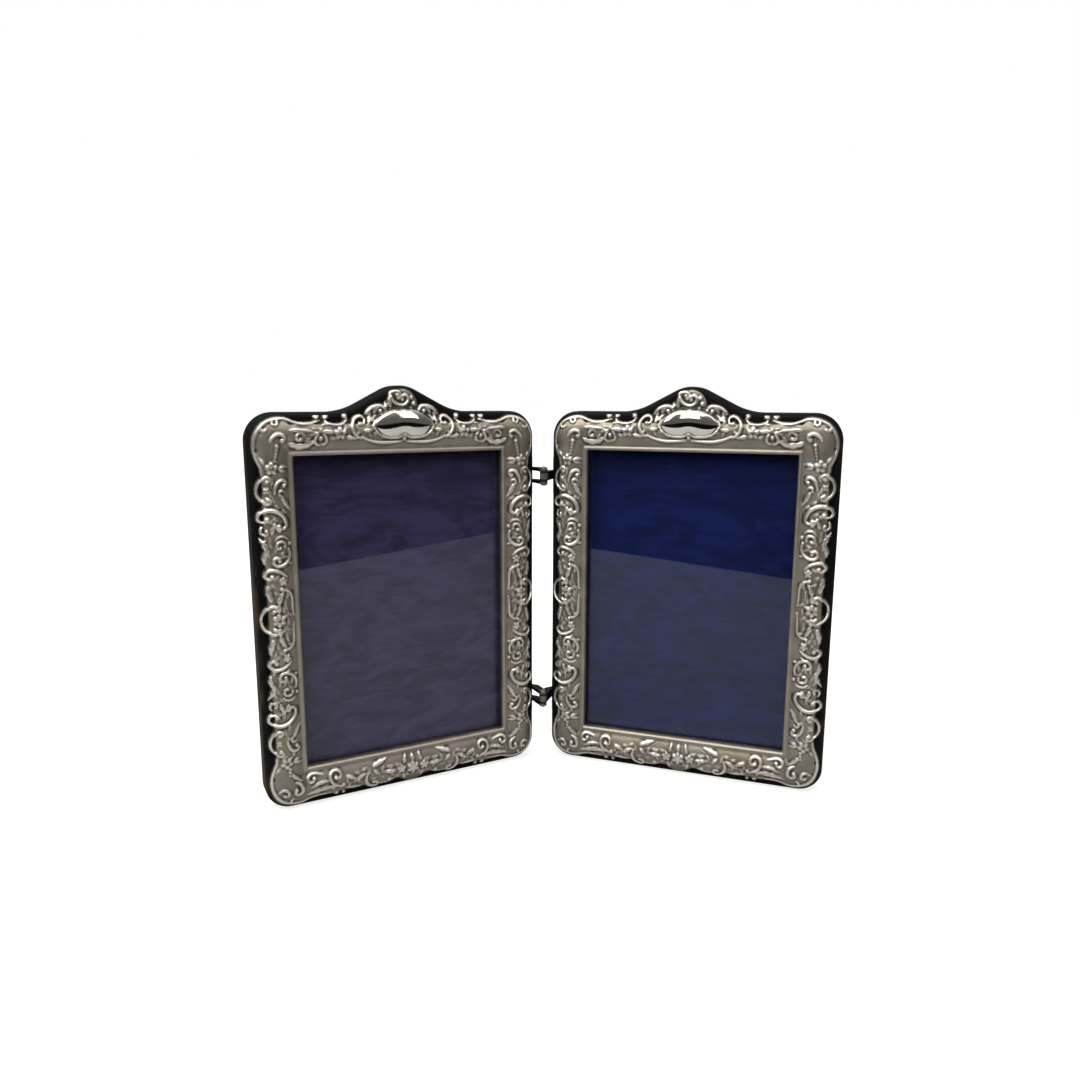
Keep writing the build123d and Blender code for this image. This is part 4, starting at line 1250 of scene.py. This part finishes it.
def set_world():
    """White backdrop for the camera, and a soft room that is dark at eye level for reflections."""
    world = bpy.data.worlds.new("studio")
    world.use_nodes = True
    bpy.context.scene.world = world
    nodes = Nodes(world.node_tree)
    way = nodes.add("ShaderNodeSeparateXYZ", {0: nodes.get("ShaderNodeTexCoord", output="Generated")}).outputs
    over = nodes.band(way["Z"], *CEILING_BAND, ROOM_EYE_LEVEL, ROOM_CEILING)
    behind = nodes.band(way["Y"], *BACKDROP_BAND, 0.0, ROOM_BACKDROP)
    above = nodes.band(way["Z"], *UNDER_BAND, ROOM_UNDER, 1.0)
    path = nodes.add("ShaderNodeLightPath").outputs
    mirrored = nodes.band(path["Is Singular Ray"], 0.0, 1.0, 1.0, MIRRORED_SHARE)
    room = nodes.times(nodes.math("MAXIMUM", over, behind), above)
    room = nodes.times(room, mirrored)
    level = nodes.get("ShaderNodeMix", {0: path["Is Camera Ray"], 2: room, 3: 1.0}, data_type="FLOAT")
    nodes.set(world.node_tree.nodes["Background"], {"Color": (1, 1, 1, 1), "Strength": level})


def set_light(name, place, target, size, watts):
    """Soft box of a width and height at place that faces target."""
    light = bpy.data.lights.new(name, "AREA")
    light.shape = "RECTANGLE"
    light.size, light.size_y = size
    light.energy = watts
    lamp = bpy.data.objects.new(name, light)
    facing = (Vector(place) - Vector(target)).to_track_quat("Z", "Y")
    lamp.matrix_world = Matrix.Translation(place) @ facing.to_matrix().to_4x4()
    bpy.context.scene.collection.objects.link(lamp)


def set_floor(settings):
    """Pale table whose front edge stops before the camera."""
    reach, front = FLOOR_REACH, settings.floor_front
    points = np.array([(-reach, -front, 0), (reach, -front, 0), (reach, reach, 0), (-reach, reach, 0)])
    floor = place_mesh("floor", points, [(0, 1, 2, 3)], Matrix.Rotation(settings.floor_turn, 4, "Z"))
    finish = Finish("pale_table")
    path = finish.add("ShaderNodeLightPath").outputs
    tone = finish.mix(finish.noise(6.0, detail=2), shade(settings.floor, 0.97), settings.floor)
    tone = finish.mix(path["Is Singular Ray"], tone, shade(settings.floor, MIRRORED_SHARE))
    finish.look(Base_Color=tone, Roughness=0.7, Specular_IOR_Level=0.2)
    away = finish.vector_math("LENGTH", {0: finish.place}, "Value")
    glow = finish.band(away, *FLOOR_GLOW_BAND, FLOOR_GLOW, 1.0)
    glow = finish.times(path["Is Camera Ray"], glow)
    finish.look(Emission_Color=(1, 1, 1, 1), Emission_Strength=glow)
    floor.data.materials.append(finish.material)


# Operators, panel and the run


class OBJECT_OT_silver_mounts(bpy.types.Operator):
    """Raise the stamped silver of both leaves"""

    bl_idname = "photo_frame.silver_mounts"
    bl_label = "Silver mounts"

    def execute(self, context):
        points, faces, front, look = silver_shell(context.scene.frame_silver)
        finish = stamped_silver(context.scene.frame_colours)
        for leaf in SIDES:
            piece = place_mesh(f"{leaf}_stamped_mount", points, faces, LEAVES[leaf])
            piece.data.polygons.foreach_set("use_smooth", np.arange(len(faces)) < front)
            for name, values in look.items():
                attribute = piece.data.attributes.new(name, "FLOAT", "POINT")
                attribute.data.foreach_set("value", values.astype(np.float32))
            piece.data.materials.append(finish)
            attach(piece, f"{leaf}_leaf")
            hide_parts(f"{leaf}_silver_mount")
        return {"FINISHED"}


class OBJECT_OT_brads(bpy.types.Operator):
    """Set a domed brad in the middle of each flower that holds the silver down"""

    bl_idname = "photo_frame.brads"
    bl_label = "Flower brads"

    def execute(self, context):
        sizes = context.scene.frame_fixings
        tree = fixing_tree("flower_brads", slotted=False)
        values = {
            "Head Radius": sizes.brad_radius,
            "Head Height": sizes.brad_height,
            "Shank Radius": BRAD_SHANK * MM,
            "Finish": finish_for("bright_pin_steel", silvered_steel, context.scene.frame_colours),
        }
        for leaf in SIDES:
            piece = set_fixings(f"{leaf}_brads", leaf, f"{leaf}_mount_pins", tree, values, facing=1)
            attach(piece, f"{leaf}_leaf")
            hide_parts(f"{leaf}_mount_pins")
        return {"FINISHED"}


class OBJECT_OT_button_screws(bpy.types.Operator):
    """Set the slotted screws that the turn buttons swing on"""

    bl_idname = "photo_frame.button_screws"
    bl_label = "Button screws"

    def execute(self, context):
        sizes = context.scene.frame_fixings
        tree = fixing_tree("button_screws", slotted=True)
        values = {
            "Head Radius": sizes.screw_radius,
            "Head Height": sizes.screw_height,
            "Shank Radius": SCREW_SHANK * MM,
            "Slot Width": sizes.slot_width,
            "Finish": finish_for("old_brass", old_brass, context.scene.frame_colours),
        }
        for leaf in SIDES:
            node = f"{leaf}_button_screws"
            piece = set_fixings(f"{leaf}_slotted_screws", leaf, node, tree, values, facing=-1)
            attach(piece, f"{leaf}_leaf")
            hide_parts(f"{leaf}_button_screws")
        return {"FINISHED"}


class OBJECT_OT_boards(bpy.types.Operator):
    """Lacquer the two boards black"""

    bl_idname = "photo_frame.boards"
    bl_label = "Boards"

    def execute(self, context):
        for leaf in SIDES:
            dress(f"{leaf}_frame_board", ebonised_wood(context.scene.frame_colours, leaf))
        return {"FINISHED"}


class OBJECT_OT_glazing(bpy.types.Operator):
    """Finish the glass, the silk behind it and the packing card"""

    bl_idname = "photo_frame.glazing"
    bl_label = "Glass and silk"

    def execute(self, context):
        colours = context.scene.frame_colours
        glass, card = clear_glass(), grey_card(colours)
        for leaf, tint in (("left", colours.left_silk), ("right", colours.right_silk)):
            dress(f"{leaf}_glass", glass)
            dress(f"{leaf}_silk_card", watered_silk(f"{leaf}_watered_silk", tint, leaf))
            dress(f"{leaf}_packing_card", card)
        return {"FINISHED"}


class OBJECT_OT_backs(bpy.types.Operator):
    """Cover the back panels with velvet and finish the turn buttons"""

    bl_idname = "photo_frame.backs"
    bl_label = "Backs and turn buttons"

    def execute(self, context):
        colours = context.scene.frame_colours
        finish = finish_for("old_brass", old_brass, colours)
        for leaf in SIDES:
            dress(f"{leaf}_back_panel", pile_velvet(colours, leaf))
            for button in BUTTONS:
                dress(f"{leaf}_turn_button_{button}", finish)
        return {"FINISHED"}


class OBJECT_OT_hinges(bpy.types.Operator):
    """Blacken the hinge arms and brighten their pins"""

    bl_idname = "photo_frame.hinges"
    bl_label = "Hinges"

    def execute(self, context):
        colours = context.scene.frame_colours
        black = finish_for("blackened_steel", dark_steel, colours)
        bright = finish_for("bright_pin_steel", silvered_steel, colours)
        for hinge in ("upper", "lower"):
            dress(f"{hinge}_clevis", black)
            dress(f"{hinge}_tongue", black)
            dress(f"{hinge}_hinge_pin", bright)
        for leaf in SIDES:
            dress(f"{leaf}_hinge_screws", black)
        return {"FINISHED"}


class OBJECT_OT_stage(bpy.types.Operator):
    """Set the table, the lights and the camera"""

    bl_idname = "photo_frame.stage"
    bl_label = "Stage"

    def execute(self, context):
        settings = context.scene.frame_stage
        set_floor(settings)
        set_world()
        for name, (place, aim, size, setting, share) in LIGHTS.items():
            set_light(name, place, (0, 0, aim), size, getattr(settings, setting) * share)
        set_camera(settings)
        context.scene.view_settings.view_transform = "Standard"
        return {"FINISHED"}


OPERATORS = (
    OBJECT_OT_stage,
    OBJECT_OT_boards,
    OBJECT_OT_silver_mounts,
    OBJECT_OT_brads,
    OBJECT_OT_glazing,
    OBJECT_OT_backs,
    OBJECT_OT_button_screws,
    OBJECT_OT_hinges,
)


class VIEW3D_PT_photo_frame(bpy.types.Panel):
    """Sizes, colours and steps of the photo frame"""

    bl_label = "Photo frame"
    bl_idname = "VIEW3D_PT_photo_frame"
    bl_space_type = "VIEW_3D"
    bl_region_type = "UI"
    bl_category = "Photo frame"

    def draw(self, context):
        for group in SETTINGS:
            box = self.layout.box()
            settings = getattr(context.scene, group)
            for name in settings.__annotations__:
                box.prop(settings, name)
        for operator in OPERATORS:
            self.layout.operator(operator.bl_idname)


SETTINGS = {
    "frame_silver": SilverSizes,
    "frame_fixings": FixingSizes,
    "frame_colours": FinishColours,
    "frame_stage": StageSettings,
}
CLASSES = (*SETTINGS.values(), *OPERATORS, VIEW3D_PT_photo_frame)


def register():
    """Make the classes and their settings known to Blender."""
    for item in CLASSES:
        bpy.utils.register_class(item)
    for name, group in SETTINGS.items():
        setattr(bpy.types.Scene, name, PointerProperty(type=group))


def unregister():
    """Take the settings and classes away again."""
    for name in SETTINGS:
        delattr(bpy.types.Scene, name)
    for item in reversed(CLASSES):
        bpy.utils.unregister_class(item)


def main():
    """Dress the whole frame."""
    register()
    for operator in OPERATORS:
        group, name = operator.bl_idname.split(".")
        getattr(getattr(bpy.ops, group), name)()


if __name__ == "__main__":
    main()
